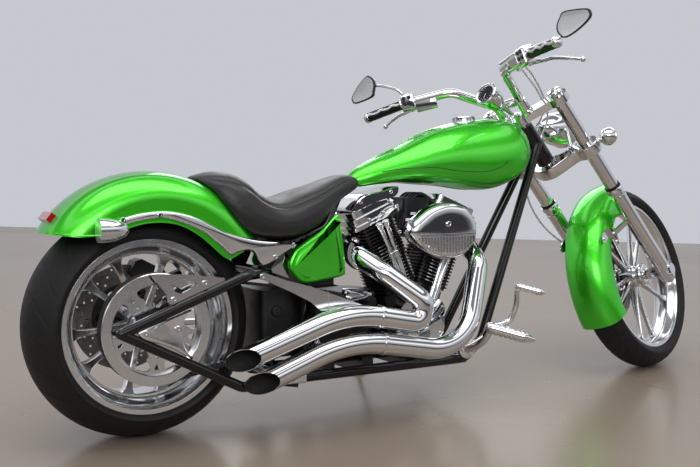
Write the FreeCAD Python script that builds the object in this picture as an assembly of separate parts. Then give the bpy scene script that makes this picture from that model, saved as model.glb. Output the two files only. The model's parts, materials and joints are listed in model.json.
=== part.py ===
import FreeCAD, Part

import math
import os

# Chopper motorcycle: a long raked fork, a wide rear tyre, an open V-twin engine and a belt final drive.
# Lengths are millimetres and angles are degrees.
# The bike is first drawn upright and pointing ahead: x = 0 at the rear axle, y = 0 on its centre plane,
# z = 0 on the ground, +X forward and +Y to the rider's left. The fork is drawn in a frame of its own,
# whose z axis is the steering axis and whose x axis points ahead of it.
# At the end the fork is turned to its left stop and the whole bike leans over onto its side stand.

# Fits
FIT_GAP = 0.3
RUNNING_GAP = 0.05
MOVING_GAP = 6.0
CUT_OVERRUN = 4.0

# Stance
WHEELBASE = 1980.0
LEAN_DEG = 4.0
STEER_STOP_DEG = 23.0
RAKE_DEG = 40.0
FORK_OFFSET = 66.0
SETTLE_STEPS = 6
ARC_ROOM_SHARE = 0.47

# Rear wheel
REAR_TYRE_RADIUS = 328.0
REAR_TYRE_WIDTH = 250.0
REAR_CROWN_RADIUS = 138.0
REAR_LIP_RADIUS = 246.0
REAR_RIM_WIDTH = 226.0
REAR_BEAD_RADIUS = 230.0
REAR_HUB_RADIUS = 42.0
REAR_HUB_RIGHT = 124.0
REAR_HUB_LEFT = 124.0
REAR_SPOKE_COUNT = 10
REAR_SPOKE_WIDTH = 30.0
REAR_SPOKE_THICKNESS = 26.0
REAR_SPOKE_Y = 28.0
REAR_DISC_RADIUS = 146.0
REAR_DISC_INNER_RADIUS = 60.0
REAR_DISC_THICKNESS = 5.0
REAR_AXLE_RADIUS = 12.5
AXLE_COLLAR_RADIUS = 21.0
AXLE_END_GAP = 0.5

# Front wheel
FRONT_TYRE_RADIUS = 346.0
FRONT_TYRE_WIDTH = 130.0
FRONT_CROWN_RADIUS = 70.0
FRONT_LIP_RADIUS = 278.0
FRONT_RIM_WIDTH = 100.0
FRONT_BEAD_RADIUS = 266.0
FRONT_HUB_RADIUS = 34.0
FRONT_HUB_HALF_WIDTH = 62.0
FRONT_SPOKE_COUNT = 10
FRONT_SPOKE_WIDTH = 16.0
FRONT_SPOKE_THICKNESS = 18.0
FRONT_DISC_RADIUS = 146.0
FRONT_DISC_INNER_RADIUS = 52.0
FRONT_DISC_THICKNESS = 5.0
FRONT_DISC_Y = 84.0
FRONT_AXLE_RADIUS = 12.5

# Rims
RIM_WALL = 6.0
RIM_LIP_THICKNESS = 7.0
RIM_WELL_DEPTH = 16.0
RIM_WELL_SHARE = 0.4
CROWN_FACETS = 8
TYRE_STEPS = 72
CROWN_EDGE_SHARE = 0.94
SPOKE_TAPER_SHARE = 0.62
SPOKE_SPREAD_SHARE = 0.42

# Final drive
PULLEY_Y = 151.0
PULLEY_TEETH = 66
PULLEY_RADIUS = 150.0
PULLEY_RING = 22.0
PULLEY_DEPTH = 40.0
PULLEY_PLATE = 8.0
PULLEY_WINDOWS = 5
BELT_THICKNESS = 5.0
BELT_TOOTH = 3.0
BELT_WIDTH = 38.0
BELT_RUN_GAP = 1.0
DRIVE_PULLEY_X = 548.0
DRIVE_PULLEY_Z = 335.0
DRIVE_PULLEY_RADIUS = 58.0

# Swingarm
SWING_TUBE_RADIUS = 15.0
SWING_Y = 196.0
SWING_APEX_X = -108.0
SWING_APEX_Z = 328.0
SWING_TOP_X = 262.0
SWING_TOP_Z = 466.0
SWING_TOP_CROSS_X = 356.0
SWING_TOP_CROSS_Z = 462.0
SWING_TOP_CROSS_Y = 124.0
SWING_LOW_X = 240.0
SWING_LOW_Z = 146.0
SWING_PIVOT_Y = 144.0
SWING_PIVOT_X = 402.0
SWING_PIVOT_Z = 146.0
SWING_BEND = 45.0
AXLE_PLATE_THICKNESS = 8.0
AXLE_PLATE_FRONT_X = 66.0

# Frame
FRAME_TUBE_RADIUS = 16.0
BACKBONE_RADIUS = 19.0
NECK_RADIUS = 31.0
NECK_LOW = 632.0
NECK_HIGH = 797.0
BACKBONE_NECK = 748.0
DOWNTUBE_NECK = 716.0
BACKBONE_MID_X = 1000.0
BACKBONE_MID_Z = 806.0
BACKBONE_REAR_X = 742.0
BACKBONE_REAR_Z = 736.0
SEAT_NODE_X = 648.0
SEAT_NODE_Z = 676.0
SEAT_RAIL_X = 560.0
SEAT_RAIL_Z = 582.0
SEAT_RAIL_Y = 92.0
RAIL_END_X = 392.0
RAIL_END_Z = 536.0
RAIL_END_Y = 118.0
DOWNTUBE_TOP_Y = 18.0
DOWNTUBE_LOW_X = 1148.0
DOWNTUBE_LOW_Z = 196.0
CRADLE_Y = 112.0
CRADLE_FRONT_X = 1078.0
CRADLE_Z = 136.0
CRADLE_REAR_X = 430.0
REAR_POST_X = 470.0
REAR_POST_LOW_Z = 210.0
FRAME_BEND = 60.0
PIVOT_LUG_RADIUS = 27.0
PIVOT_LUG_THICKNESS = 26.0
UPPER_LUG_RADIUS = 23.0
UPPER_LUG_THICKNESS = 14.0

# Rear fender
FENDER_X = 28.0
FENDER_Z = 404.0
FENDER_RADIUS = 359.0
FENDER_WALL = 4.0
FENDER_HALF_WIDTH = 142.0
FENDER_SIDE_DEPTH = 250.0
FENDER_FRONT_DEG = 27.0
FENDER_REAR_DEG = 156.0
# Across the fender: shares of its half width, and how far below the crown, in shares of the radius.
FENDER_SECTION_SHARES = ((0.0, 0.0), (0.42, 0.012), (0.74, 0.052), (0.93, 0.125), (1.0, 0.235))
# Lower edge from the tail forward, in shares of the fender's radius from its centre.
FENDER_EDGE_SHARES = (
    (-1.05, 0.535), (-0.87, 0.535), (-0.55, 0.51), (-0.36, 0.535), (-0.167, 0.588), (0.0, 0.599), (0.153, 0.571),
    (0.318, 0.479), (0.443, 0.37), (0.526, 0.3), (0.613, 0.273), (0.7, 0.292), (0.85, 0.36), (1.1, 0.44),
)

# Fender struts and rear lamps
STRUT_THICKNESS = 12.0
STRUT_BOSS_RADIUS = 11.0
# Upper and lower edges of the strut from rear to front, in shares of the fender's radius from its centre.
STRUT_TOP_SHARES = (
    (-0.42, 0.6), (-0.26, 0.66), (-0.1, 0.688), (0.056, 0.69), (0.22, 0.655), (0.38, 0.588), (0.51, 0.52),
    (0.64, 0.476), (0.81, 0.437), (1.08, 0.412), (1.2, 0.423),
)
STRUT_LOW_SHARES = (
    (1.2, 0.415), (1.08, 0.345), (0.93, 0.255), (0.85, 0.222), (0.8, 0.255), (0.77, 0.325), (0.72, 0.355),
    (0.62, 0.345), (0.56, 0.318), (0.5, 0.375), (0.41, 0.455), (0.3, 0.535), (0.05, 0.63), (-0.1, 0.628),
    (-0.26, 0.6), (-0.34, 0.552), (-0.42, 0.548),
)
REAR_SIGNAL_RADIUS = 33.0
REAR_SIGNAL_LENGTH = 86.0
REAR_SIGNAL_X = -118.0
REAR_SIGNAL_Z = 606.0
REAR_SIGNAL_Y = 186.0
SIGNAL_STALK_RADIUS = 9.0
TAIL_LAMP_WIDTH = 96.0
TAIL_LAMP_HEIGHT = 26.0
TAIL_LAMP_DEPTH = 12.0
TAIL_LAMP_DEG = 140.0

# Seat
SEAT_REAR_X = 150.0
SEAT_LENGTH = 568.0
SEAT_LOW_Z = 560.0
SEAT_HEIGHT = 193.0
SEAT_HALF_WIDTH = 152.0
SEAT_CLEARANCE = 0.8
# Along the seat from its tail: shares of its length, crown height, underside height and half width.
SEAT_STATION_SHARES = (
    (0.0, 0.945, 0.76, 0.06), (0.045, 0.97, 0.68, 0.48), (0.11, 1.0, 0.5, 0.8), (0.2, 1.0, 0.2, 0.97),
    (0.3, 0.84, 0.03, 1.0), (0.39, 0.64, 0.0, 1.0), (0.47, 0.585, 0.0, 1.0), (0.56, 0.64, 0.03, 0.96),
    (0.67, 0.74, 0.15, 0.86), (0.79, 0.85, 0.42, 0.66), (0.91, 0.955, 0.64, 0.45), (1.0, 0.93, 0.78, 0.3),
)
SEAT_SECTION_SHARES = (
    (0.0, 1.0), (0.5, 0.965), (0.84, 0.8), (1.0, 0.45), (0.97, 0.12), (0.8, 0.0), (0.0, 0.04),
)

# Fuel tank
TANK_REAR_X = 700.0
TANK_LENGTH = 714.0
TANK_LOW_Z = 690.0
TANK_HEIGHT = 248.0
TANK_HALF_WIDTH = 128.0
# Along the tank from its tail: shares of its length, crown height, underside height and half width.
TANK_STATION_SHARES = (
    (0.0, 0.2, 0.09, 0.16), (0.03, 0.28, 0.07, 0.3), (0.116, 0.42, 0.09, 0.48), (0.28, 0.625, 0.113, 0.72),
    (0.444, 0.83, 0.08, 0.88), (0.616, 0.947, 0.02, 0.98), (0.755, 0.996, 0.02, 1.0), (0.852, 0.985, 0.11, 0.95),
    (0.922, 0.925, 0.22, 0.8), (0.968, 0.82, 0.34, 0.56), (0.992, 0.69, 0.45, 0.28), (1.0, 0.6, 0.52, 0.1),
)
TANK_SECTION_SHARES = (
    (0.0, 1.0), (0.46, 0.95), (0.82, 0.76), (1.0, 0.46), (0.9, 0.16), (0.5, 0.02), (0.0, 0.0),
)
TUNNEL_GAP = 5.0
CAP_X = 1158.0
CAP_RADIUS = 36.0
CAP_HEIGHT = 13.0
CAP_SEAT_Z = 920.0
CAP_TILT_DEG = 7.0

# Side covers and battery box
COVER_REAR_X = 423.0
COVER_LENGTH = 190.0
COVER_LOW_Z = 423.0
COVER_HEIGHT = 201.0
COVER_THICKNESS = 16.0
COVER_SHARES = (
    (0.83, 1.0), (0.9, 0.965), (0.955, 0.63), (1.0, 0.175), (0.948, 0.085), (0.674, 0.04), (0.316, 0.0),
    (0.137, 0.055), (0.0, 0.224), (0.0, 0.343), (0.105, 0.512), (0.32, 0.64), (0.6, 0.8),
)
BATTERY_REAR_X = 482.0
BATTERY_LENGTH = 118.0
BATTERY_LOW_Z = 410.0
BATTERY_HEIGHT = 132.0
BATTERY_CORNER = 12.0

# Belt guards
GUARD_THICKNESS = 9.0
GUARD_Y = 184.0
GUARD_REAR_X = 300.0
GUARD_LENGTH = 350.0
GUARD_LOW_Z = 344.0
GUARD_HEIGHT = 127.0
GUARD_SHARES = (
    (0.0, 0.87), (0.0, 0.97), (0.03, 1.0), (0.24, 0.78), (0.47, 0.6), (0.75, 0.31), (1.0, 0.04), (1.0, 0.0),
    (0.56, 0.02), (0.46, 0.25), (0.28, 0.51),
)
PLATE_REAR_X = -26.0
PLATE_LENGTH = 214.0
PLATE_LOW_Z = 398.0
PLATE_HEIGHT = 86.0
PLATE_SHARES = ((0.0, 1.0), (0.5, 0.93), (1.0, 0.75), (1.0, 0.66), (0.3, 0.02), (0.24, 0.03), (0.2, 0.35))
PLATE_WINDOW_SHARES = ((0.22, 0.84), (0.36, 0.86), (0.6, 0.66), (0.62, 0.56), (0.4, 0.33), (0.32, 0.4))

# Engine
CRANK_X = 920.0
CRANK_Z = 240.0
V_HALF_DEG = 22.5
CASE_RADIUS = 112.0
CASE_HALF_WIDTH = 66.0
CASE_DECK = 146.0
DECK_HALF_LENGTH = 62.0
CAM_CHEST_RADIUS = 94.0
CAM_CHEST_DEPTH = 42.0
CAM_CHEST_X = 908.0
CAM_CHEST_Z = 262.0
CAM_COVER_RADIUS = 36.0
CAM_COVER_X = 955.0
CAM_COVER_Z = 306.0
CAM_COVER_DEPTH = 16.0
CAM_NOSE_X = 902.0
CAM_NOSE_Z = 236.0
CAM_NOSE_RADIUS = 44.0
CAM_NOSE_DEPTH = 30.0
BARREL_RADIUS = 50.0
BARREL_TOP = 316.0
HEAD_TOP = 388.0
FIN_HALF_LENGTH = 68.0
FIN_HALF_WIDTH = 74.0
FIN_CORNER = 22.0
FIN_THICKNESS = 3.5
BARREL_FINS = 10
HEAD_FINS = 4
ROCKER_HALF_LENGTH = 88.0
ROCKER_HALF_WIDTH = 74.0
ROCKER_CORNER = 20.0
ROCKER_BASE = 14.0
ROCKER_MID = 22.0
ROCKER_TOP = 22.0
ROCKER_STEP = 7.0
PUSHROD_RADIUS = 9.0
TAPPET_RADIUS = 13.0
TAPPET_HEIGHT = 44.0
PUSHROD_Y = 92.0
PUSHROD_SPREAD = 26.0
PUSHROD_ROOT = 92.0
AIR_CLEANER_REAR_X = 768.0
AIR_CLEANER_LENGTH = 242.0
AIR_CLEANER_Z = 568.0
AIR_CLEANER_HALF_HEIGHT = 84.0
AIR_CLEANER_DEPTH = 62.0
AIR_CLEANER_Y = 142.0
AIR_CLEANER_SHARES = ((0.0, 0.0), (0.12, 0.38), (0.32, 0.76), (0.58, 1.0), (0.8, 0.9), (0.95, 0.5), (1.0, 0.0))
INTAKE_RADIUS = 30.0
INTAKE_RUNNER_SHARE = 0.75
GEARBOX_REAR_X = 520.0
GEARBOX_LENGTH = 236.0
GEARBOX_LOW_Z = 176.0
GEARBOX_HEIGHT = 206.0
GEARBOX_HALF_WIDTH = 84.0
GEARBOX_CORNER = 34.0
GEARBOX_CAP_RADIUS = 30.0
GEARBOX_CAP_LENGTH = 84.0
PRIMARY_DEPTH = 68.0
PRIMARY_FRONT_RADIUS = 83.0
PRIMARY_REAR_RADIUS = 104.0
PRIMARY_REAR_X = 618.0
PRIMARY_REAR_Z = 300.0
PRIMARY_CORNER = 16.0
MOUNT_HALF_LENGTH = 20.0
MOUNT_SPREAD = 40.0
MOUNT_LOW_Z = 124.0
MOUNT_HIGH_Z = 150.0
GEARBOX_MOUNT_XS = (566.0, 704.0)

# Exhausts
PIPE_RADIUS = 33.0
PIPE_BORE_RADIUS = 31.0
PIPE_BORE_DEPTH = 120.0
PIPE_Y = 248.0
PIPE_CLAMP_RADIUS = 36.0
PIPE_CLAMP_WIDTH = 12.0
SLASH_DEG = 38.0
PIPE_SLASH = 240.0
PIPE_BEND = 80.0
FRONT_DROP_X = 1100.0
FRONT_DROP_Y = 128.0
FRONT_DROP_Z = 444.0
REAR_DROP_X = 662.0
REAR_DROP_Y = 96.0
REAR_DROP_Z = 494.0
REAR_SHOULDER_X = 714.0
REAR_SHOULDER_Y = 190.0
REAR_SHOULDER_Z = 456.0
FRONT_KNEE_X = 981.0
FRONT_KNEE_Z = 204.0
FRONT_CREST_X = 555.0
FRONT_CREST_Z = 250.0
FRONT_TIP_X = 231.0
FRONT_TIP_Z = 156.0
FRONT_CLAMP_X = 755.0
REAR_KNEE_X = 875.0
REAR_KNEE_Z = 350.0
REAR_TURN_Z = 304.0
REAR_CREST_X = 575.0
REAR_CREST_Z = 326.0
REAR_TIP_X = 171.0
REAR_TIP_Z = 224.0
REAR_CLAMP_X = 695.0
PORT_HEIGHT = 346.0
PORT_REACH = 42.0

# Foot controls
CONTROL_PLATE_X = 1072.0
CONTROL_PLATE_Z = 172.0
CONTROL_PLATE_THICKNESS = 14.0
CONTROL_ARM_RADIUS = 17.0
CONTROL_ARM_Y = 236.0
CONTROL_ARM_X = 1092.0
CONTROL_ARM_Z = 252.0
PEG_RADIUS = 17.0
PEG_LENGTH = 138.0
PEG_YAW_DEG = 48.0
PEG_DROP_DEG = 14.0
PEG_TIP_SHARE = 0.24
LEVER_RADIUS = 8.0
LEVER_BEND = 40.0
LEVER_TOP_X = 1156.0
LEVER_TOP_Y = 296.0
LEVER_TOP_Z = 388.0
LEVER_MID_X = 1158.0
LEVER_MID_Y = 262.0
LEVER_MID_Z = 296.0
TOE_PEG_RADIUS = 10.0
TOE_PEG_LENGTH = 80.0

# Fork, in its own frame
STEM_RADIUS = 16.0
LEG_RADIUS = 24.5
SLIDER_RADIUS = 28.0
LEG_HALF_SPACING = 138.0
LEG_TOP = 852.0
SLIDER_TOP = 402.0
SLIDER_LOW = -34.0
CLAMP_THICKNESS = 30.0
LOWER_CLAMP_TOP = 622.0
UPPER_CLAMP_LOW = 808.0
CLAMP_WALL = 13.0
CLAMP_BOSS_RADIUS = 34.0
CLAMP_WEB = 22.0
AXLE_CAP_RADIUS = 22.0
AXLE_CAP_DEPTH = 6.0

# Handlebar, in the fork's frame
BAR_RADIUS = 16.0
GRIP_BAR_RADIUS = 12.7
RISER_RADIUS = 19.0
RISER_Y = 46.0
RISER_HEIGHT = 58.0
BAR_AHEAD = 0.0
BAR_BEND_BACK = 92.0
BAR_BEND_Y = 112.0
BAR_BEND_HEIGHT = 1056.0
GRIP_IN_BACK = 157.0
GRIP_IN_Y = 268.0
GRIP_IN_HEIGHT = 1106.0
GRIP_OUT_BACK = 201.0
GRIP_OUT_Y = 392.0
GRIP_OUT_HEIGHT = 1125.0
BAR_CURVE = 60.0
GRIP_RADIUS = 17.5
GRIP_CAP_LENGTH = 16.0
POD_LENGTH = 36.0
POD_RADIUS = 22.0
RESERVOIR_LENGTH = 96.0
RESERVOIR_WIDTH = 40.0
RESERVOIR_HEIGHT = 34.0
HAND_LEVER_WIDTH = 13.0
HAND_LEVER_THICKNESS = 8.0
HAND_LEVER_REACH = 46.0
HAND_LEVER_BALL = 9.0
MIRROR_STEM_RADIUS = 5.0
MIRROR_LENGTH = 118.0
MIRROR_HEIGHT = 82.0
MIRROR_DEPTH = 24.0
MIRROR_SHARES = (
    (-0.5, -0.12), (-0.42, 0.2), (-0.14, 0.48), (0.32, 0.5), (0.5, 0.3), (0.44, -0.06), (0.1, -0.44), (-0.32, -0.5),
)
MIRROR_BACK = 96.0
MIRROR_Y = 450.0
MIRROR_HEIGHT_AT = 1160.0
SPEEDO_RADIUS = 33.0
SPEEDO_LENGTH = 92.0
SPEEDO_BACK = 86.0
SPEEDO_HEIGHT = 1003.0
SPEEDO_TILT_DEG = 28.0
SPEEDO_NOSE_SHARES = ((0.0, 1.0), (0.3, 0.97), (0.6, 0.82), (0.85, 0.5), (1.0, 0.0))

# Headlight and front signals, in the fork's frame
HEADLIGHT_RADIUS = 72.0
HEADLIGHT_LENGTH = 190.0
HEADLIGHT_AHEAD = 150.0
HEADLIGHT_HEIGHT = 705.0
HEADLIGHT_SHARES = ((0.0, 0.0), (0.08, 0.42), (0.28, 0.76), (0.58, 0.95), (0.86, 1.0), (0.97, 0.97), (1.0, 0.86))
HEADLIGHT_ARM_RADIUS = 7.0
HEADLIGHT_KNEE = 26.0
SIGNAL_RADIUS = 31.0
SIGNAL_Y = 214.0
SIGNAL_AHEAD = 92.0
SIGNAL_HEIGHT = 606.0

# Front fender, around the front axle
FRONT_FENDER_RADIUS = 376.0
FRONT_FENDER_HALF_WIDTH = 84.0
FRONT_FENDER_WALL = 4.0
FRONT_FENDER_START_DEG = 104.0
FRONT_FENDER_SWEEP_DEG = 104.0
FRONT_FENDER_SECTION_SHARES = ((0.0, 0.0), (0.5, 0.014), (0.82, 0.058), (1.0, 0.16), (1.0, 0.24))
FENDER_STAY_RADIUS = 7.0
FENDER_STAY_HEIGHT = 300.0

# Brakes
CALIPER_LENGTH = 108.0
CALIPER_HEIGHT = 58.0
CALIPER_WIDTH = 62.0
CALIPER_SLOT = 12.0
CALIPER_CORNER = 14.0
FRONT_CALIPER_DEG = 172.0
REAR_CALIPER_DEG = 62.0
CALIPER_LUG_RADIUS = 14.0
HOSE_RADIUS = 3.5

# Side stand
STAND_PIVOT_X = 884.0
STAND_PIVOT_Y = 160.0
STAND_PIVOT_Z = 140.0
STAND_FORWARD_SHARE = 0.26
STAND_LEG_RADIUS = 10.0
STAND_SPREAD = 150.0
STAND_FOLD_RISE_SHARE = 0.01
STAND_FOLD_OUT_SHARE = 0.1
STAND_FOOT_RADIUS = 27.0
STAND_FOOT_THICKNESS = 9.0
STAND_BOSS_RADIUS = 15.0
STAND_BOSS_WIDTH = 24.0
STAND_PIN_RADIUS = 7.0
GROUND_CUT = 400.0


# Basic solids

def vec(x, y, z):
    return FreeCAD.Vector(x, y, z)


X_AXIS = vec(1, 0, 0)
Y_AXIS = vec(0, 1, 0)
Z_AXIS = vec(0, 0, 1)
ORIGIN = vec(0, 0, 0)


def unit(v):
    return v / v.Length


def mirrored(shape):
    return shape.mirror(ORIGIN, Y_AXIS)


def both_sides(shape):
    return [shape, mirrored(shape)]


def fused(shapes):
    whole = shapes[0]
    if len(shapes) > 1:
        whole = whole.fuse(shapes[1:])
    return whole.removeSplitter()


def rod(start, end, radius):
    run = end - start
    return Part.makeCylinder(radius, run.Length, start, run)


def cone(start, end, start_radius, end_radius):
    run = end - start
    return Part.makeCone(start_radius, end_radius, run.Length, start, run)


def path_edges(points, bend):
    """Straight runs through the points, joined by tangent arcs of radius bend, less where the runs are short."""
    edges = []
    last = points[0]
    for before, corner, after in zip(points, points[1:], points[2:]):
        come = unit(corner - before)
        leave = unit(after - corner)
        turn = come.getAngle(leave)
        half = math.tan(turn / 2)
        shorter = min((corner - before).Length, (after - corner).Length)
        radius = min(bend, ARC_ROOM_SHARE * shorter / half)
        middle = unit(leave - come)
        first = corner - come * radius * half
        second = corner + leave * radius * half
        centre = corner + middle * (radius / math.cos(turn / 2))
        edges.append(Part.LineSegment(last, first).toShape())
        edges.append(Part.Arc(first, centre - middle * radius, second).toShape())
        last = second
    edges.append(Part.LineSegment(last, points[-1]).toShape())
    return edges


def tube(points, radius, bend):
    """A round bar along straight runs and tangent arcs."""
    path = Part.Wire(path_edges(points, bend))
    ring = Part.Wire(Part.makeCircle(radius, points[0], points[1] - points[0]))
    return path.makePipeShell([ring], True, False)


def outline_face(points):
    """A flat face inside a closed outline of straight lines."""
    return Part.Face(Part.makePolygon(points + points[:1]))


def curved_face(points):
    """A flat face inside one smooth closed curve through the points."""
    curve = Part.BSplineCurve()
    curve.interpolate(points, PeriodicFlag=True)
    return Part.Face(Part.Wire(curve.toShape()))


def side_points(shares, x, z, length, height, y=0):
    """Points in a plane across the bike from shares of a box in side view."""
    return [vec(x + a * length, y, z + b * height) for a, b in shares]


def side_plate(points, y, thickness, curved=False):
    """A plate in side view, from y outward by the thickness, on the bike's right."""
    face = curved_face(points) if curved else outline_face(points)
    face.translate(vec(0, -y, 0))
    return face.extrude(vec(0, -thickness, 0))


def box(low, high):
    size = high - low
    return Part.makeBox(size.x, size.y, size.z, low)


def prism(half_x, half_y, corner, low, high):
    """An upright block with cut corners, centred on z."""
    a = half_x - corner
    b = half_y - corner
    ring = [(half_x, b), (a, half_y), (-a, half_y), (-half_x, b), (-half_x, -b), (-a, -half_y), (a, -half_y), (half_x, -b)]
    return outline_face([vec(x, y, low) for x, y in ring]).extrude(vec(0, 0, high - low))


def turned(shape, centre, axis, degrees):
    copy = shape.copy()
    copy.rotate(centre, axis, degrees)
    return copy


def moved(shape, offset):
    copy = shape.copy()
    copy.translate(offset)
    return copy


def placed(shape, placement):
    copy = shape.copy()
    copy.Placement = placement.multiply(copy.Placement)
    return copy


def revolved(points, start, axis, sweep_deg):
    return outline_face(points).revolve(start, axis, sweep_deg)


def oval_loft(stations, section_shares, x, z, length, height, half_width):
    """A body lofted from stations along x, each a closed smooth section across it."""
    wires = []
    for along, top, low, wide in stations:
        ring = []
        for side, up in section_shares:
            ring.append((side * wide * half_width, z + (low + up * (top - low)) * height))
        left = [(-y, h) for y, h in reversed(ring[1:-1])]
        points = [vec(x + along * length, y, h) for y, h in ring + left]
        curve = Part.BSplineCurve()
        curve.interpolate(points, PeriodicFlag=True)
        wires.append(Part.Wire(curve.toShape()))
    return Part.makeLoft(wires, True, False)


# Frames of reference

AXIS_FOOT = vec(
    WHEELBASE - FORK_OFFSET * math.cos(math.radians(RAKE_DEG)),
    0,
    FRONT_TYRE_RADIUS - FORK_OFFSET * math.sin(math.radians(RAKE_DEG)),
)
FORK = FreeCAD.Placement(AXIS_FOOT, FreeCAD.Rotation(Y_AXIS, -RAKE_DEG))
STEERED = FORK.multiply(FreeCAD.Placement(ORIGIN, FreeCAD.Rotation(Z_AXIS, STEER_STOP_DEG)))
REAR_AXLE = vec(0, 0, REAR_TYRE_RADIUS)
FRONT_AXLE = vec(FORK_OFFSET, 0, 0)


def neck_point(along):
    return FORK.multVec(vec(0, 0, along))


def crown_points(radius, width, crown):
    """Across a tyre's tread: (y, radius) on the crown's arc, from right to left."""
    edge = math.asin((width / 2) * CROWN_EDGE_SHARE / crown)
    points = []
    for i in range(CROWN_FACETS + 1):
        angle = edge * (2 * i / CROWN_FACETS - 1)
        points.append((crown * math.sin(angle), radius - crown + crown * math.cos(angle)))
    return points


def lowest(placement, centre, radius, width, crown):
    """Height of a tyre's lowest point, its centre and turned axle given by the placement."""
    axle = placement.Rotation.multVec(Y_AXIS)
    middle = placement.multVec(centre)
    flat = math.sqrt(1 - axle.z ** 2)
    return min(middle.z + y * axle.z - r * flat for y, r in crown_points(radius, width, crown))


def settled():
    """The upright bike leaned onto its stand, pitched and lifted so that both tyres touch the ground."""
    pitch = 0
    lift = 0
    for _ in range(SETTLE_STEPS):
        lean = FreeCAD.Rotation(X_AXIS, -LEAN_DEG)
        tilt = FreeCAD.Rotation(Y_AXIS, math.degrees(pitch))
        stance = FreeCAD.Placement(vec(0, 0, lift), tilt.multiply(lean))
        rear = lowest(stance, REAR_AXLE, REAR_TYRE_RADIUS, REAR_TYRE_WIDTH, REAR_CROWN_RADIUS)
        front = lowest(stance.multiply(STEERED), FRONT_AXLE, FRONT_TYRE_RADIUS, FRONT_TYRE_WIDTH, FRONT_CROWN_RADIUS)
        pitch += (front - rear) / WHEELBASE
        lift -= rear
    return stance


STANCE = settled()


# Wheels, drawn about the y axis at the origin

def ring_profile(points):
    return [vec(r, y, 0) for y, r in points]


def down_angle(placement):
    """The way down to the floor in a wheel's own plane, as an angle from its x axis."""
    down = placement.Rotation.inverted().multVec(-Z_AXIS)
    return math.atan2(down.z, down.x)


def facet_ring(profile, count, flat_at):
    """A solid ring whose (y, radius) outline goes round the y axis in flat steps, one of them square to flat_at."""
    half_step = math.pi / count
    turns = [flat_at + half_step * (2 * i + 1) for i in range(count)]
    corners = [(y, r / math.cos(half_step)) for y, r in profile]
    rings = [[vec(r * math.cos(a), y, r * math.sin(a)) for y, r in corners] for a in turns]
    faces = []
    for i, ring in enumerate(rings):
        following = rings[(i + 1) % count]
        for j, corner in enumerate(ring):
            k = (j + 1) % len(ring)
            faces.append(outline_face([corner, ring[k], following[k], following[j]]))
    shell = Part.makeShell(faces)
    shell.sewShape()
    solid = Part.makeSolid(shell)
    if solid.Volume < 0:
        solid.reverse()
    return solid


def tyre(radius, width, crown, bead_radius, rim_width, lip_radius, placement):
    tread = crown_points(radius, width, crown)
    seat = rim_width / 2 - RIM_LIP_THICKNESS - FIT_GAP
    shoulder = tread[-1]
    bulge = (width / 2, (shoulder[1] + lip_radius) / 2 + RIM_LIP_THICKNESS)
    flank = (rim_width / 2 + FIT_GAP, lip_radius + FIT_GAP)
    half = [bulge, flank, (seat, lip_radius + FIT_GAP), (seat, bead_radius + FIT_GAP)]
    return facet_ring(tread + half + [(-y, r) for y, r in reversed(half)], TYRE_STEPS, down_angle(placement))


def rim_barrel(bead_radius, rim_width, lip_radius):
    """The rim: two lips, two bead seats and a well between, one wall thick."""
    half = rim_width / 2
    seat = half - RIM_LIP_THICKNESS
    well = seat * RIM_WELL_SHARE
    low = bead_radius - RIM_WELL_DEPTH
    shoulder = well + RIM_WELL_DEPTH
    outer = [(half, lip_radius), (seat, lip_radius), (seat, bead_radius), (shoulder, bead_radius), (well, low)]
    inner = [(well, low - RIM_WALL), (shoulder, bead_radius - RIM_WALL), (half, bead_radius - RIM_WALL)]
    ring = outer + [(-y, r) for y, r in reversed(outer)] + [(-y, r) for y, r in reversed(inner)] + inner
    return revolved(ring_profile(ring), ORIGIN, Y_AXIS, 360)


def spokes(count, inner_radius, outer_radius, width, thickness, y):
    """Pairs of tapered spokes that spread from the hub to the rim."""
    made = []
    pair_deg = 360 / (count / 2)
    for i in range(count // 2):
        for side in (-1, 1):
            root = width * SPOKE_TAPER_SHARE * side
            lean = math.radians(side * pair_deg * SPOKE_SPREAD_SHARE / 2)
            tip = outer_radius * math.tan(lean)
            half = width / 2
            taper = half * SPOKE_TAPER_SHARE
            ring = [
                vec(inner_radius, y - thickness / 2, root - half),
                vec(inner_radius, y - thickness / 2, root + half),
                vec(outer_radius, y - thickness / 2, tip + taper),
                vec(outer_radius, y - thickness / 2, tip - taper),
            ]
            blade = outline_face(ring).extrude(vec(0, thickness, 0))
            made.append(turned(blade, ORIGIN, Y_AXIS, i * pair_deg))
    return made


def disc(inner_radius, outer_radius, y, thickness):
    plate = Part.makeCylinder(outer_radius, thickness, vec(0, y, 0), Y_AXIS)
    return plate.cut(Part.makeCylinder(inner_radius, thickness + 2 * CUT_OVERRUN, vec(0, y - CUT_OVERRUN, 0), Y_AXIS))


def hub(radius, right, left, bore):
    body = rod(vec(0, -right, 0), vec(0, left, 0), radius)
    return body.cut(rod(vec(0, -right - CUT_OVERRUN, 0), vec(0, left + CUT_OVERRUN, 0), bore))


def rear_rim():
    low = REAR_BEAD_RADIUS - RIM_WELL_DEPTH - RIM_WALL / 2
    parts = [
        rim_barrel(REAR_BEAD_RADIUS, REAR_RIM_WIDTH, REAR_LIP_RADIUS),
        hub(REAR_HUB_RADIUS, REAR_HUB_RIGHT, REAR_HUB_LEFT, REAR_AXLE_RADIUS + RUNNING_GAP),
    ]
    parts += spokes(REAR_SPOKE_COUNT, REAR_HUB_RADIUS - RIM_WALL, low, REAR_SPOKE_WIDTH, REAR_SPOKE_THICKNESS, REAR_SPOKE_Y)
    return fused(parts)


def rear_disc():
    y = REAR_HUB_LEFT
    plate = disc(REAR_DISC_INNER_RADIUS, REAR_DISC_RADIUS, y, REAR_DISC_THICKNESS)
    centre = disc(REAR_AXLE_RADIUS + RUNNING_GAP, REAR_DISC_INNER_RADIUS, y, REAR_DISC_THICKNESS * 2)
    return fused([plate, centre])


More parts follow.
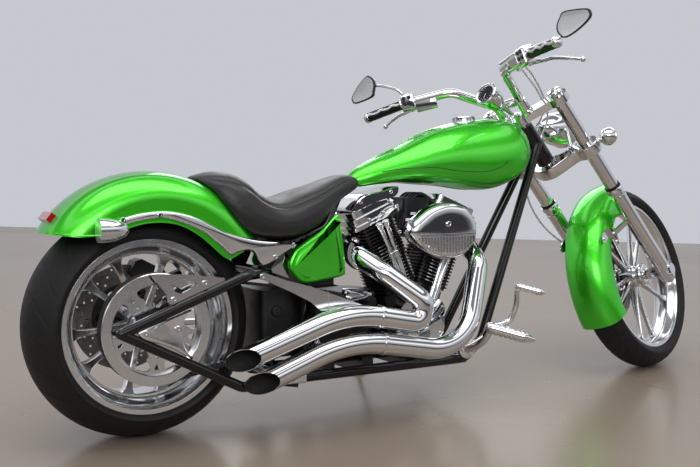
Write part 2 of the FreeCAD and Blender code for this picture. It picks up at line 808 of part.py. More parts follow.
def rear_pulley():
    """The toothed ring, a windowed plate inside it and a sleeve onto the hub."""
    inner = PULLEY_RADIUS - PULLEY_RING
    y = -PULLEY_Y - PULLEY_DEPTH / 2
    ring = disc(inner, PULLEY_RADIUS, y, PULLEY_DEPTH)
    plate_y = -PULLEY_Y - PULLEY_PLATE / 2
    plate = disc(REAR_AXLE_RADIUS + RUNNING_GAP, inner, plate_y, PULLEY_PLATE)
    sleeve = disc(REAR_AXLE_RADIUS + RUNNING_GAP, REAR_HUB_RADIUS, plate_y, PULLEY_Y + PULLEY_PLATE / 2 - REAR_HUB_RIGHT)
    windows = []
    window_radius = (inner - REAR_HUB_RADIUS) / 2 - PULLEY_PLATE
    reach = (inner + REAR_HUB_RADIUS) / 2
    for i in range(PULLEY_WINDOWS):
        hole = Part.makeCylinder(window_radius, PULLEY_PLATE + 2 * CUT_OVERRUN, vec(reach, plate_y - CUT_OVERRUN, 0), Y_AXIS)
        windows.append(turned(hole, ORIGIN, Y_AXIS, i * 360 / PULLEY_WINDOWS))
    return fused([ring, plate.cut(windows), sleeve])


def front_rim():
    low = FRONT_BEAD_RADIUS - RIM_WELL_DEPTH - RIM_WALL / 2
    parts = [
        rim_barrel(FRONT_BEAD_RADIUS, FRONT_RIM_WIDTH, FRONT_LIP_RADIUS),
        hub(FRONT_HUB_RADIUS, FRONT_HUB_HALF_WIDTH, FRONT_HUB_HALF_WIDTH, FRONT_AXLE_RADIUS + RUNNING_GAP),
    ]
    parts += spokes(FRONT_SPOKE_COUNT, FRONT_HUB_RADIUS - RIM_WALL, low, FRONT_SPOKE_WIDTH, FRONT_SPOKE_THICKNESS, 0)
    return fused(parts)


def front_disc():
    carrier = disc(
        FRONT_AXLE_RADIUS + RUNNING_GAP, FRONT_HUB_RADIUS, FRONT_HUB_HALF_WIDTH, FRONT_DISC_Y - FRONT_HUB_HALF_WIDTH)
    plate = disc(FRONT_AXLE_RADIUS + RUNNING_GAP, FRONT_DISC_RADIUS, FRONT_DISC_Y, FRONT_DISC_THICKNESS)
    return fused([carrier, plate])


# Frame and swingarm

def backbone_path():
    return [
        neck_point(BACKBONE_NECK),
        vec(BACKBONE_MID_X, 0, BACKBONE_MID_Z),
        vec(BACKBONE_REAR_X, 0, BACKBONE_REAR_Z),
        vec(SEAT_NODE_X, 0, SEAT_NODE_Z),
        vec(SEAT_RAIL_X, 0, SEAT_RAIL_Z),
    ]


def rail_path():
    """One side: from the seat node out and back to the rear cross tube."""
    return [
        vec(SEAT_NODE_X, -BACKBONE_RADIUS, SEAT_NODE_Z),
        vec(SEAT_RAIL_X, -SEAT_RAIL_Y, SEAT_RAIL_Z),
        vec(RAIL_END_X, -RAIL_END_Y, RAIL_END_Z),
    ]


def cradle_path():
    """One side: down from the neck, back under the engine and up to the seat rail."""
    top = neck_point(DOWNTUBE_NECK)
    return [
        vec(top.x, -DOWNTUBE_TOP_Y, top.z),
        vec(DOWNTUBE_LOW_X, -CRADLE_Y, DOWNTUBE_LOW_Z),
        vec(CRADLE_FRONT_X, -CRADLE_Y, CRADLE_Z),
        vec(CRADLE_REAR_X, -CRADLE_Y, CRADLE_Z),
    ]


def post_path():
    return [
        vec(REAR_POST_X, -CRADLE_Y, CRADLE_Z),
        vec(REAR_POST_X, -CRADLE_Y, REAR_POST_LOW_Z),
        vec(REAR_POST_X + FRAME_BEND / 2, -CRADLE_Y, SEAT_RAIL_Z - FRAME_TUBE_RADIUS),
    ]


def frame_tubes(grow):
    radius = FRAME_TUBE_RADIUS + grow
    sides = []
    for path in (rail_path(), cradle_path(), post_path()):
        sides += both_sides(tube(path, radius, FRAME_BEND))
    return [tube(backbone_path(), BACKBONE_RADIUS + grow, FRAME_BEND)] + sides


def lug(x, z, tip_x, tip_z, y, radius, thickness, bore):
    """A cheek plate round a cross tube at (x, z), carried from (tip_x, tip_z)."""
    run = vec(tip_x - x, 0, tip_z - z)
    side = unit(Y_AXIS.cross(run)) * radius
    start = vec(x, y, z)
    end = vec(tip_x, y, tip_z)
    web = outline_face([start + side, end + side, end - side, start - side]).extrude(vec(0, thickness, 0))
    eye = Part.makeCylinder(radius, thickness, start, Y_AXIS)
    hole = Part.makeCylinder(bore, thickness + 2 * CUT_OVERRUN, start - Y_AXIS * CUT_OVERRUN, Y_AXIS)
    return fused([web, eye]).cut(hole)


def frame():
    neck = rod(neck_point(NECK_LOW), neck_point(NECK_HIGH), NECK_RADIUS)
    cross_rear = rod(vec(RAIL_END_X, -RAIL_END_Y, RAIL_END_Z), vec(RAIL_END_X, RAIL_END_Y, RAIL_END_Z), FRAME_TUBE_RADIUS)
    cross_front = rod(
        vec(CRADLE_FRONT_X, -CRADLE_Y, CRADLE_Z), vec(CRADLE_FRONT_X, CRADLE_Y, CRADLE_Z), FRAME_TUBE_RADIUS)
    lower_lug = lug(
        SWING_PIVOT_X, SWING_PIVOT_Z, CRADLE_REAR_X + PIVOT_LUG_RADIUS, CRADLE_Z,
        -CRADLE_Y - PIVOT_LUG_THICKNESS / 2, PIVOT_LUG_RADIUS, PIVOT_LUG_THICKNESS, SWING_TUBE_RADIUS + FIT_GAP)
    upper_lug = lug(
        SWING_TOP_CROSS_X, SWING_TOP_CROSS_Z, RAIL_END_X, RAIL_END_Z,
        -RAIL_END_Y + UPPER_LUG_THICKNESS / 2, UPPER_LUG_RADIUS, UPPER_LUG_THICKNESS, SWING_TUBE_RADIUS + FIT_GAP)
    parts = [neck, cross_rear, cross_front] + frame_tubes(0)
    parts += both_sides(lower_lug) + both_sides(upper_lug) + mounts() + stand_bracket()
    bore = rod(neck_point(NECK_LOW - CUT_OVERRUN), neck_point(NECK_HIGH + CUT_OVERRUN), STEM_RADIUS + RUNNING_GAP)
    swing_tools = [
        rod(vec(x, -SWING_Y, z), vec(x, SWING_Y, z), SWING_TUBE_RADIUS + FIT_GAP)
        for x, z in ((SWING_PIVOT_X, SWING_PIVOT_Z), (SWING_TOP_CROSS_X, SWING_TOP_CROSS_Z))
    ]
    engine = [case_middle(FIT_GAP), cam_chest(FIT_GAP)]
    return fused(parts).cut([bore] + swing_tools + engine)


def swing_paths():
    apex = vec(SWING_APEX_X, -SWING_Y, SWING_APEX_Z)
    upper = [apex, vec(SWING_TOP_X, -SWING_Y, SWING_TOP_Z), vec(SWING_TOP_CROSS_X, -SWING_TOP_CROSS_Y, SWING_TOP_CROSS_Z)]
    lower = [apex, vec(SWING_LOW_X, -SWING_Y, SWING_LOW_Z), vec(SWING_PIVOT_X, -SWING_PIVOT_Y, SWING_PIVOT_Z)]
    return upper, lower


def swingarm():
    parts = []
    for path in swing_paths():
        parts += both_sides(tube(path, SWING_TUBE_RADIUS, SWING_BEND))
        end = path[-1]
        parts.append(rod(end, vec(end.x, -end.y, end.z), SWING_TUBE_RADIUS))
    parts += both_sides(Part.makeSphere(SWING_TUBE_RADIUS, vec(SWING_APEX_X, -SWING_Y, SWING_APEX_Z)))
    parts += both_sides(axle_plate())
    return fused(parts)


def axle_plate():
    """The triangle between the two tubes of one side, which carries the axle."""
    reach = AXLE_PLATE_FRONT_X - SWING_APEX_X
    rise = (SWING_TOP_Z - SWING_APEX_Z) / (SWING_TOP_X - SWING_APEX_X) * reach
    drop = (SWING_APEX_Z - SWING_LOW_Z) / (SWING_LOW_X - SWING_APEX_X) * reach
    ring = [
        vec(SWING_APEX_X, 0, SWING_APEX_Z),
        vec(AXLE_PLATE_FRONT_X, 0, SWING_APEX_Z - drop),
        vec(AXLE_PLATE_FRONT_X, 0, SWING_APEX_Z + rise),
    ]
    plate = side_plate(ring, SWING_Y - AXLE_PLATE_THICKNESS / 2, AXLE_PLATE_THICKNESS)
    hole = rod(REAR_AXLE - Y_AXIS * (SWING_Y + SWING_BEND), REAR_AXLE, REAR_AXLE_RADIUS + RUNNING_GAP)
    return plate.cut(hole)


def rear_axle():
    """The spindle, a collar each side of the wheel and a nut outside each plate."""
    inside = SWING_Y - AXLE_PLATE_THICKNESS / 2 - FIT_GAP
    outside = SWING_Y + AXLE_PLATE_THICKNESS / 2 + FIT_GAP
    right = PULLEY_Y + PULLEY_PLATE / 2 + AXLE_END_GAP
    left = REAR_HUB_LEFT + REAR_DISC_THICKNESS * 2 + AXLE_END_GAP
    end = outside + AXLE_COLLAR_RADIUS / 2
    parts = [
        rod(REAR_AXLE - Y_AXIS * end, REAR_AXLE + Y_AXIS * end, REAR_AXLE_RADIUS),
        rod(REAR_AXLE - Y_AXIS * inside, REAR_AXLE - Y_AXIS * right, AXLE_COLLAR_RADIUS),
        rod(REAR_AXLE + Y_AXIS * inside, REAR_AXLE + Y_AXIS * left, AXLE_COLLAR_RADIUS),
        rod(REAR_AXLE - Y_AXIS * end, REAR_AXLE - Y_AXIS * outside, AXLE_COLLAR_RADIUS),
        rod(REAR_AXLE + Y_AXIS * end, REAR_AXLE + Y_AXIS * outside, AXLE_COLLAR_RADIUS),
    ]
    return fused(parts)


# Final drive

def belt_loop(grow, half_width):
    """The solid inside the belt's path, grown outward."""
    big = PULLEY_RADIUS + BELT_RUN_GAP + grow
    small = DRIVE_PULLEY_RADIUS + BELT_RUN_GAP + grow
    run = vec(DRIVE_PULLEY_X, 0, DRIVE_PULLEY_Z) - REAR_AXLE
    swing = math.acos((big - small) / run.Length)
    heading = math.atan2(run.z, run.x)
    tangent = []
    for sign in (1, -1):
        angle = heading + sign * swing
        away = vec(math.cos(angle), 0, math.sin(angle))
        tangent.append((REAR_AXLE + away * big, vec(DRIVE_PULLEY_X, 0, DRIVE_PULLEY_Z) + away * small))
    ring = [tangent[0][0], tangent[0][1], tangent[1][1], tangent[1][0]]
    shift = vec(0, -PULLEY_Y - half_width, 0)
    depth = vec(0, 2 * half_width, 0)
    middle = outline_face([p + shift for p in ring]).extrude(depth)
    discs = [
        Part.makeCylinder(big, 2 * half_width, REAR_AXLE + shift, Y_AXIS),
        Part.makeCylinder(small, 2 * half_width, vec(DRIVE_PULLEY_X, 0, DRIVE_PULLEY_Z) + shift, Y_AXIS),
    ]
    return middle.fuse(discs).removeSplitter()


def belt():
    outer = belt_loop(BELT_THICKNESS, BELT_WIDTH / 2)
    return outer.cut(belt_loop(0, BELT_WIDTH / 2 + CUT_OVERRUN))


def drive_pulley():
    inside = -PULLEY_Y + PULLEY_DEPTH / 2
    centre = vec(DRIVE_PULLEY_X, inside, DRIVE_PULLEY_Z)
    drum = Part.makeCylinder(DRIVE_PULLEY_RADIUS, PULLEY_DEPTH, vec(DRIVE_PULLEY_X, -PULLEY_Y - PULLEY_DEPTH / 2, DRIVE_PULLEY_Z), Y_AXIS)
    shaft = rod(centre, vec(DRIVE_PULLEY_X, 0, DRIVE_PULLEY_Z), REAR_HUB_RADIUS / 2)
    return fused([drum, shaft])


# Engine

def up_cylinder(shape, side):
    """Moves a shape drawn about z onto the front (1) or rear (-1) cylinder's axis."""
    return placed(shape, cylinder_frame(side))


def cylinder_frame(side):
    return FreeCAD.Placement(vec(CRANK_X, 0, CRANK_Z), FreeCAD.Rotation(Y_AXIS, side * V_HALF_DEG))


def case_middle(grow):
    half = CASE_HALF_WIDTH + grow
    return Part.makeCylinder(CASE_RADIUS + grow, 2 * half, vec(CRANK_X, -half, CRANK_Z), Y_AXIS)


def decks(grow):
    block = prism(DECK_HALF_LENGTH + grow, CASE_HALF_WIDTH + grow, FIN_CORNER, 0, CASE_DECK)
    return [up_cylinder(block, side) for side in (1, -1)]


def cam_chest(grow):
    start = vec(CAM_CHEST_X, -CASE_HALF_WIDTH - CAM_CHEST_DEPTH - grow, CAM_CHEST_Z)
    return Part.makeCylinder(CAM_CHEST_RADIUS + grow, CAM_CHEST_DEPTH + grow, start, Y_AXIS)


def crankcase():
    return fused([case_middle(0), cam_chest(0)] + decks(0))


def mounts():
    """Cross members between the cradle rails: two round the crankcase, two under the gearbox."""
    places = [(CRANK_X + sign * MOUNT_SPREAD, MOUNT_HIGH_Z) for sign in (-1, 1)]
    places += [(x, GEARBOX_LOW_Z - FIT_GAP) for x in GEARBOX_MOUNT_XS]
    bars = []
    for x, top in places:
        low = vec(x - MOUNT_HALF_LENGTH, -CRADLE_Y, MOUNT_LOW_Z)
        bars.append(box(low, vec(x + MOUNT_HALF_LENGTH, CRADLE_Y, top)))
    return bars


def head_block(side, grow):
    """The space that one cylinder and its fins fill."""
    block = prism(FIN_HALF_LENGTH + grow, FIN_HALF_WIDTH + grow, FIN_CORNER, CASE_DECK, HEAD_TOP + grow)
    return up_cylinder(block, side)


def cylinders():
    made = []
    for side in (1, -1):
        start = CASE_DECK + FIT_GAP
        core = prism(BARREL_RADIUS, BARREL_RADIUS, FIN_CORNER, start, HEAD_TOP)
        fins = []
        pitch = (BARREL_TOP - start) / (BARREL_FINS + 1)
        for i in range(BARREL_FINS):
            low = start + pitch * (i + 1)
            fins.append(prism(FIN_HALF_LENGTH, FIN_HALF_WIDTH, FIN_CORNER, low, low + FIN_THICKNESS))
        pitch = (HEAD_TOP - BARREL_TOP) / HEAD_FINS
        for i in range(HEAD_FINS):
            low = BARREL_TOP + pitch * i
            fins.append(prism(FIN_HALF_LENGTH, FIN_HALF_WIDTH, FIN_CORNER, low, low + FIN_THICKNESS))
        made.append(up_cylinder(fused([core] + fins), side))
    return made


def rocker_boxes():
    made = []
    for side in (1, -1):
        low = HEAD_TOP + FIT_GAP
        tiers = []
        for step, height in enumerate((ROCKER_BASE, ROCKER_MID, ROCKER_TOP)):
            inset = step * ROCKER_STEP
            tiers.append(prism(ROCKER_HALF_LENGTH - inset, ROCKER_HALF_WIDTH - inset, ROCKER_CORNER, low, low + height))
            low += height
        made.append(up_cylinder(fused(tiers), side))
    return made


def pushrods():
    """Two tubes to each cylinder's head from tappet blocks on the cam chest."""
    made = []
    keep_out = [cam_chest(FIT_GAP), case_middle(FIT_GAP)] + decks(FIT_GAP)
    for side in (1, -1):
        frame_of = cylinder_frame(side)
        for spread in (-PUSHROD_SPREAD / 2, PUSHROD_SPREAD / 2):
            foot = frame_of.multVec(vec(spread / 2, -PUSHROD_Y, PUSHROD_ROOT))
            knee = frame_of.multVec(vec(spread / 2, -PUSHROD_Y, PUSHROD_ROOT + TAPPET_HEIGHT))
            head = frame_of.multVec(vec(spread, -PUSHROD_Y, HEAD_TOP - FIT_GAP))
            made.append(fused([rod(foot, knee, TAPPET_RADIUS), rod(knee, head, PUSHROD_RADIUS)]))
    return [largest(tube_made.cut(keep_out)) for tube_made in made]


def cam_covers():
    face = -CASE_HALF_WIDTH - CAM_CHEST_DEPTH - FIT_GAP
    cover = rod(vec(CAM_COVER_X, face, CAM_COVER_Z), vec(CAM_COVER_X, face - CAM_COVER_DEPTH, CAM_COVER_Z), CAM_COVER_RADIUS)
    nose = cone(
        vec(CAM_NOSE_X, face, CAM_NOSE_Z), vec(CAM_NOSE_X, face - CAM_NOSE_DEPTH, CAM_NOSE_Z),
        CAM_NOSE_RADIUS, CAM_NOSE_RADIUS / 2)
    return fused([cover, nose])


def air_cleaner():
    """A flattened egg with its point to the rear, on an intake pipe from between the cylinders."""
    length = AIR_CLEANER_LENGTH
    half = AIR_CLEANER_HALF_HEIGHT
    curve = Part.BSplineCurve()
    curve.interpolate([vec(a * length, 0, b * half) for a, b in AIR_CLEANER_SHARES])
    line = Part.LineSegment(vec(length, 0, 0), ORIGIN).toShape()
    egg = Part.Face(Part.Wire([curve.toShape(), line])).revolve(ORIGIN, X_AXIS, 180)
    flat = FreeCAD.Matrix()
    flat.A22 = AIR_CLEANER_DEPTH / half
    egg = egg.transformGeometry(flat)
    egg.translate(vec(AIR_CLEANER_REAR_X, -AIR_CLEANER_Y, AIR_CLEANER_Z))
    middle = vec(CRANK_X, 0, AIR_CLEANER_Z)
    pipe = rod(middle, middle - Y_AXIS * AIR_CLEANER_Y, INTAKE_RADIUS)
    parts = [egg, pipe]
    heads = []
    for side in (1, -1):
        inner = cylinder_frame(side).multVec(vec(0, 0, PORT_HEIGHT))
        parts.append(rod(middle, inner, INTAKE_RADIUS * INTAKE_RUNNER_SHARE))
        heads.append(head_block(side, FIT_GAP))
    return largest(fused(parts).cut(heads))


def gearbox():
    half = GEARBOX_LENGTH / 2
    block = prism(half, GEARBOX_HALF_WIDTH, GEARBOX_CORNER, GEARBOX_LOW_Z, GEARBOX_LOW_Z + GEARBOX_HEIGHT)
    block.translate(vec(GEARBOX_REAR_X + half, 0, 0))
    cap_x = GEARBOX_REAR_X + GEARBOX_LENGTH - GEARBOX_CORNER
    cap_z = GEARBOX_LOW_Z + GEARBOX_HEIGHT - GEARBOX_CORNER
    start = vec(cap_x, -GEARBOX_HALF_WIDTH, cap_z)
    cap = cone(start, start - Y_AXIS * GEARBOX_CAP_RADIUS, GEARBOX_CAP_RADIUS, GEARBOX_CAP_RADIUS / 2)
    return fused([block, cap, drive_pulley()])


def primary_cover():
    """The long cover over the clutch drive, on the left."""
    inside = GEARBOX_HALF_WIDTH + FIT_GAP
    front = vec(CRANK_X, inside, CRANK_Z)
    rear = vec(PRIMARY_REAR_X, inside, PRIMARY_REAR_Z)
    seat_start = vec(CRANK_X, CASE_HALF_WIDTH + FIT_GAP, CRANK_Z)
    layers = [rod(seat_start, front, PRIMARY_FRONT_RADIUS)]
    for inset, depth in ((0, PRIMARY_DEPTH - PRIMARY_CORNER), (PRIMARY_CORNER, PRIMARY_DEPTH)):
        big = PRIMARY_REAR_RADIUS - inset
        small = PRIMARY_FRONT_RADIUS - inset
        side = unit(Y_AXIS.cross(front - rear))
        web = outline_face([rear + side * big, front + side * small, front - side * small, rear - side * big])
        web = web.extrude(vec(0, depth, 0))
        layers.append(web)
        layers.append(Part.makeCylinder(small, depth, front, Y_AXIS))
        layers.append(Part.makeCylinder(big, depth, rear, Y_AXIS))
    return fused(layers)


# Exhausts

def port(side):
    """The start of a pipe: square to the outer face of the front (1) or rear (-1) head."""
    frame_of = cylinder_frame(side)
    face = side * (FIN_HALF_LENGTH + FIT_GAP)
    return [frame_of.multVec(vec(x, 0, PORT_HEIGHT)) for x in (face, face + side * PORT_REACH)]


def front_pipe_path():
    return port(1) + [
        vec(FRONT_DROP_X, -FRONT_DROP_Y, FRONT_DROP_Z),
        vec(FRONT_KNEE_X, -PIPE_Y, FRONT_KNEE_Z),
        vec(FRONT_CREST_X, -PIPE_Y, FRONT_CREST_Z),
        vec(FRONT_TIP_X, -PIPE_Y, FRONT_TIP_Z),
    ]


def rear_pipe_path():
    return port(-1) + [
        vec(REAR_DROP_X, -REAR_DROP_Y, REAR_DROP_Z),
        vec(REAR_SHOULDER_X, -REAR_SHOULDER_Y, REAR_SHOULDER_Z),
        vec(REAR_KNEE_X, -PIPE_Y, REAR_KNEE_Z),
        vec(REAR_KNEE_X, -PIPE_Y, REAR_TURN_Z),
        vec(REAR_CREST_X, -PIPE_Y, REAR_CREST_Z),
        vec(REAR_TIP_X, -PIPE_Y, REAR_TIP_Z),
    ]


def exhaust(path, clamp_x):
    """A bent pipe with a clamp ring, a slash-cut end and a bore up from it."""
    pipe = tube(path, PIPE_RADIUS, PIPE_BEND)
    tip = path[-1]
    back = unit(path[-1] - path[-2])
    bore = rod(tip - back * PIPE_BORE_DEPTH, tip + back * PIPE_BORE_DEPTH, PIPE_BORE_RADIUS)
    slash = box(vec(0, -PIPE_SLASH, -PIPE_SLASH), vec(PIPE_SLASH, PIPE_SLASH, PIPE_SLASH))
    heading = math.degrees(math.atan2(back.z, -back.x))
    slash.rotate(ORIGIN, Y_AXIS, heading + 180 - SLASH_DEG)
    slash.translate(tip)
    clamp_z = path[-2].z + (clamp_x - path[-2].x) / (path[-3].x - path[-2].x) * (path[-3].z - path[-2].z)
    along = unit(path[-2] - path[-3])
    ring_start = vec(clamp_x, -PIPE_Y, clamp_z)
    ring = rod(ring_start, ring_start + along * PIPE_CLAMP_WIDTH, PIPE_CLAMP_RADIUS)
    return fused([pipe, ring]).cut([bore, slash])


def exhaust_front():
    return exhaust(front_pipe_path(), FRONT_CLAMP_X)


def exhaust_rear():
    return exhaust(rear_pipe_path(), REAR_CLAMP_X)


# Body work

def fender_shell(grow):
    """The rear fender before its lower edge is cut: its section swept round its centre."""
    radius = FENDER_RADIUS + grow
    half = FENDER_HALF_WIDTH + grow
    crown = [(a * half, radius - b * FENDER_RADIUS) for a, b in FENDER_SECTION_SHARES]
    low = FENDER_RADIUS - FENDER_SIDE_DEPTH
    right = [(-y, r) for y, r in reversed(crown[1:])]
    return [(-half, low)] + right + crown + [(half, low)]


def swept_section(section, x, z, start_deg, sweep_deg):
    """Turns a section, (y, radius) points, about a cross axis at (x, z), from the front round over the top."""
    curve = Part.BSplineCurve()
    curve.interpolate([vec(r, y, 0) for y, r in section[1:-1]])
    first = vec(section[0][1], section[0][0], 0)
    last = vec(section[-1][1], section[-1][0], 0)
    sides = [
        Part.LineSegment(first, curve.StartPoint).toShape(),
        curve.toShape(),
        Part.LineSegment(curve.EndPoint, last).toShape(),
        Part.LineSegment(last, first).toShape(),
    ]
    solid = Part.Face(Part.Wire(sides)).revolve(ORIGIN, -Y_AXIS, sweep_deg)
    solid.rotate(ORIGIN, -Y_AXIS, start_deg)
    solid.translate(vec(x, 0, z))
    return solid


def rear_fender_solid(grow):
    sweep = FENDER_REAR_DEG - FENDER_FRONT_DEG
    return swept_section(fender_shell(grow), FENDER_X, FENDER_Z, FENDER_FRONT_DEG, sweep)


def below_fender_edge():
    """All that lies under the fender's lower edge."""
    edge = [vec(FENDER_X + a * FENDER_RADIUS, 0, FENDER_Z + b * FENDER_RADIUS) for a, b in FENDER_EDGE_SHARES]
    curve = Part.BSplineCurve()
    curve.interpolate(edge)
    low = vec(edge[-1].x, 0, 0)
    back = vec(edge[0].x, 0, 0)
    sides = [
        curve.toShape(),
        Part.LineSegment(edge[-1], low).toShape(),
        Part.LineSegment(low, back).toShape(),
        Part.LineSegment(back, edge[0]).toShape(),
    ]
    face = Part.Face(Part.Wire(sides))
    face.translate(vec(0, -FENDER_RADIUS, 0))
    return face.extrude(vec(0, 2 * FENDER_RADIUS, 0))


def rear_fender():
    return rear_fender_solid(0).cut([rear_fender_solid(-FENDER_WALL), below_fender_edge()])


def fender_strut():
    """The right side's strut: a swooping plate beside the fender, bolted to the seat rail."""
    ring = [(FENDER_X + a * FENDER_RADIUS, FENDER_Z + b * FENDER_RADIUS) for a, b in STRUT_TOP_SHARES + STRUT_LOW_SHARES]
    points = [vec(x, 0, z) for x, z in ring]
    inside = FENDER_HALF_WIDTH + FIT_GAP
    plate = side_plate(points, inside, STRUT_THICKNESS, curved=True)
    rail = vec(RAIL_END_X, 0, RAIL_END_Z)
    boss = rod(
        rail - Y_AXIS * (RAIL_END_Y + FRAME_TUBE_RADIUS / 2), rail - Y_AXIS * (inside + STRUT_THICKNESS / 2),
        STRUT_BOSS_RADIUS)
    return fused([plate, boss])


def fender_struts():
    keep_out = frame_tubes(FIT_GAP) + [rear_fender_solid(FIT_GAP)]
    rail = vec(RAIL_END_X, 0, RAIL_END_Z)
    keep_out.append(rod(rail - Y_AXIS * RAIL_END_Y, rail + Y_AXIS * RAIL_END_Y, FRAME_TUBE_RADIUS + FIT_GAP))
    return both_sides(largest(fender_strut().cut(keep_out)))


def largest(shape):
    return max(shape.Solids, key=lambda s: s.Volume)


def rear_signal():
    """A bullet with its nose ahead, on a stalk from the strut."""
    middle = vec(REAR_SIGNAL_X, -REAR_SIGNAL_Y, REAR_SIGNAL_Z)
    half = REAR_SIGNAL_LENGTH / 2
    curve = Part.BSplineCurve()
    curve.interpolate([vec(-half + a * 2 * half, b * REAR_SIGNAL_RADIUS, 0) for a, b in SPEEDO_NOSE_SHARES])
    sides = [
        curve.toShape(),
        Part.LineSegment(vec(half, 0, 0), vec(-half, 0, 0)).toShape(),
        Part.LineSegment(vec(-half, 0, 0), vec(-half, REAR_SIGNAL_RADIUS, 0)).toShape(),
    ]
    bullet = Part.Face(Part.Wire(sides)).revolve(ORIGIN, X_AXIS, 360)
    bullet.translate(middle)
    face = FENDER_HALF_WIDTH + FIT_GAP + STRUT_THICKNESS + FIT_GAP
    stalk = rod(vec(middle.x, -face, middle.z), middle, SIGNAL_STALK_RADIUS)
    return fused([bullet, stalk])


def tail_lamp():
    """A low lamp on the tail of the fender."""
    angle = math.radians(TAIL_LAMP_DEG)
    out = vec(math.cos(angle), 0, math.sin(angle))
    lamp = box(
        vec(-CUT_OVERRUN, -TAIL_LAMP_WIDTH / 2, -TAIL_LAMP_HEIGHT / 2),
        vec(TAIL_LAMP_DEPTH, TAIL_LAMP_WIDTH / 2, TAIL_LAMP_HEIGHT / 2))
    lamp.rotate(ORIGIN, Y_AXIS, -TAIL_LAMP_DEG)
    lamp.translate(vec(FENDER_X, 0, FENDER_Z) + out * FENDER_RADIUS)
    return largest(lamp.cut(rear_fender_solid(FIT_GAP)))


def rear_lamps():
    return both_sides(rear_signal()) + [tail_lamp()]


def seat():
    body = oval_loft(
        SEAT_STATION_SHARES, SEAT_SECTION_SHARES, SEAT_REAR_X, SEAT_LOW_Z, SEAT_LENGTH, SEAT_HEIGHT, SEAT_HALF_WIDTH)
    keep_out = frame_tubes(SEAT_CLEARANCE) + [rear_fender_solid(SEAT_CLEARANCE), tank_body(SEAT_CLEARANCE)]
    keep_out += both_sides(fender_strut_zone())
    return largest(body.cut(keep_out))


def fender_strut_zone():
    """Room for the strut beside the seat."""
    ring = [(FENDER_X + a * FENDER_RADIUS, FENDER_Z + b * FENDER_RADIUS) for a, b in STRUT_TOP_SHARES + STRUT_LOW_SHARES]
    points = [vec(x, 0, z) for x, z in ring]
    return side_plate(points, FENDER_HALF_WIDTH, STRUT_THICKNESS + 2 * FIT_GAP, curved=True)


def tank_body(grow):
    return oval_loft(
        TANK_STATION_SHARES, TANK_SECTION_SHARES, TANK_REAR_X - grow, TANK_LOW_Z - grow, TANK_LENGTH + 2 * grow,
        TANK_HEIGHT + 2 * grow, TANK_HALF_WIDTH + grow)


def tunnel():
    """The slot under the tank that straddles the backbone."""
    half = BACKBONE_RADIUS + TUNNEL_GAP
    path = backbone_path()
    ring = path[:4]
    low = [vec(p.x, 0, TANK_LOW_Z - CUT_OVERRUN) for p in reversed(ring)]
    slot = outline_face(ring + low)
    slot.translate(vec(0, -half, 0))
    neck = rod(neck_point(NECK_LOW), neck_point(NECK_HIGH + CUT_OVERRUN), NECK_RADIUS + TUNNEL_GAP)
    top = neck_point(UPPER_CLAMP_LOW - MOVING_GAP)
    sweep = rod(top, neck_point(UPPER_CLAMP_LOW + CLAMP_THICKNESS + MOVING_GAP), CLAMP_BOSS_RADIUS + MOVING_GAP)
    return [slot.extrude(vec(0, 2 * half, 0)), tube(path, half, FRAME_BEND), neck, sweep]


def tank_cap(grow):
    cap = Part.makeCylinder(CAP_RADIUS + grow, CAP_HEIGHT * 2 + grow, vec(0, 0, -CAP_HEIGHT - grow), Z_AXIS)
    cap.rotate(ORIGIN, Y_AXIS, -CAP_TILT_DEG)
    cap.translate(vec(CAP_X, 0, CAP_SEAT_Z))
    return cap


def fuel_tank():
    keep_out = tunnel() + [tank_cap(FIT_GAP)] + frame_tubes(FIT_GAP)
    return largest(tank_body(0).cut(keep_out))


def side_cover():
    points = side_points(COVER_SHARES, COVER_REAR_X, COVER_LOW_Z, COVER_LENGTH, COVER_HEIGHT)
    return side_plate(points, CRADLE_Y + FRAME_TUBE_RADIUS + FIT_GAP, COVER_THICKNESS, curved=True)


def battery_box():
    half = BATTERY_LENGTH / 2
    half_width = CRADLE_Y - FRAME_TUBE_RADIUS - FIT_GAP
    block = prism(half, half_width, BATTERY_CORNER, BATTERY_LOW_Z, BATTERY_LOW_Z + BATTERY_HEIGHT)
    block.translate(vec(BATTERY_REAR_X + half, 0, 0))
    return block


def belt_guard():
    points = side_points(GUARD_SHARES, GUARD_REAR_X, GUARD_LOW_Z, GUARD_LENGTH, GUARD_HEIGHT)
    plate = side_plate(points, GUARD_Y, GUARD_THICKNESS)
    return largest(plate.cut(tube(swing_paths()[0], SWING_TUBE_RADIUS + FIT_GAP, SWING_BEND)))


def rear_plate():
    """The windowed triangle on top of the right upper swingarm tube."""
    points = side_points(PLATE_SHARES, PLATE_REAR_X, PLATE_LOW_Z, PLATE_LENGTH, PLATE_HEIGHT)
    window = side_points(PLATE_WINDOW_SHARES, PLATE_REAR_X, PLATE_LOW_Z, PLATE_LENGTH, PLATE_HEIGHT)
    y = SWING_Y - GUARD_THICKNESS / 2
    hole = side_plate(window, y - CUT_OVERRUN, GUARD_THICKNESS + 2 * CUT_OVERRUN)
    bar = tube(swing_paths()[0], SWING_TUBE_RADIUS + FIT_GAP, SWING_BEND)
    return largest(side_plate(points, y, GUARD_THICKNESS).cut([hole, bar]))


def belt_guards():
    return [belt_guard(), rear_plate()]


# Brakes

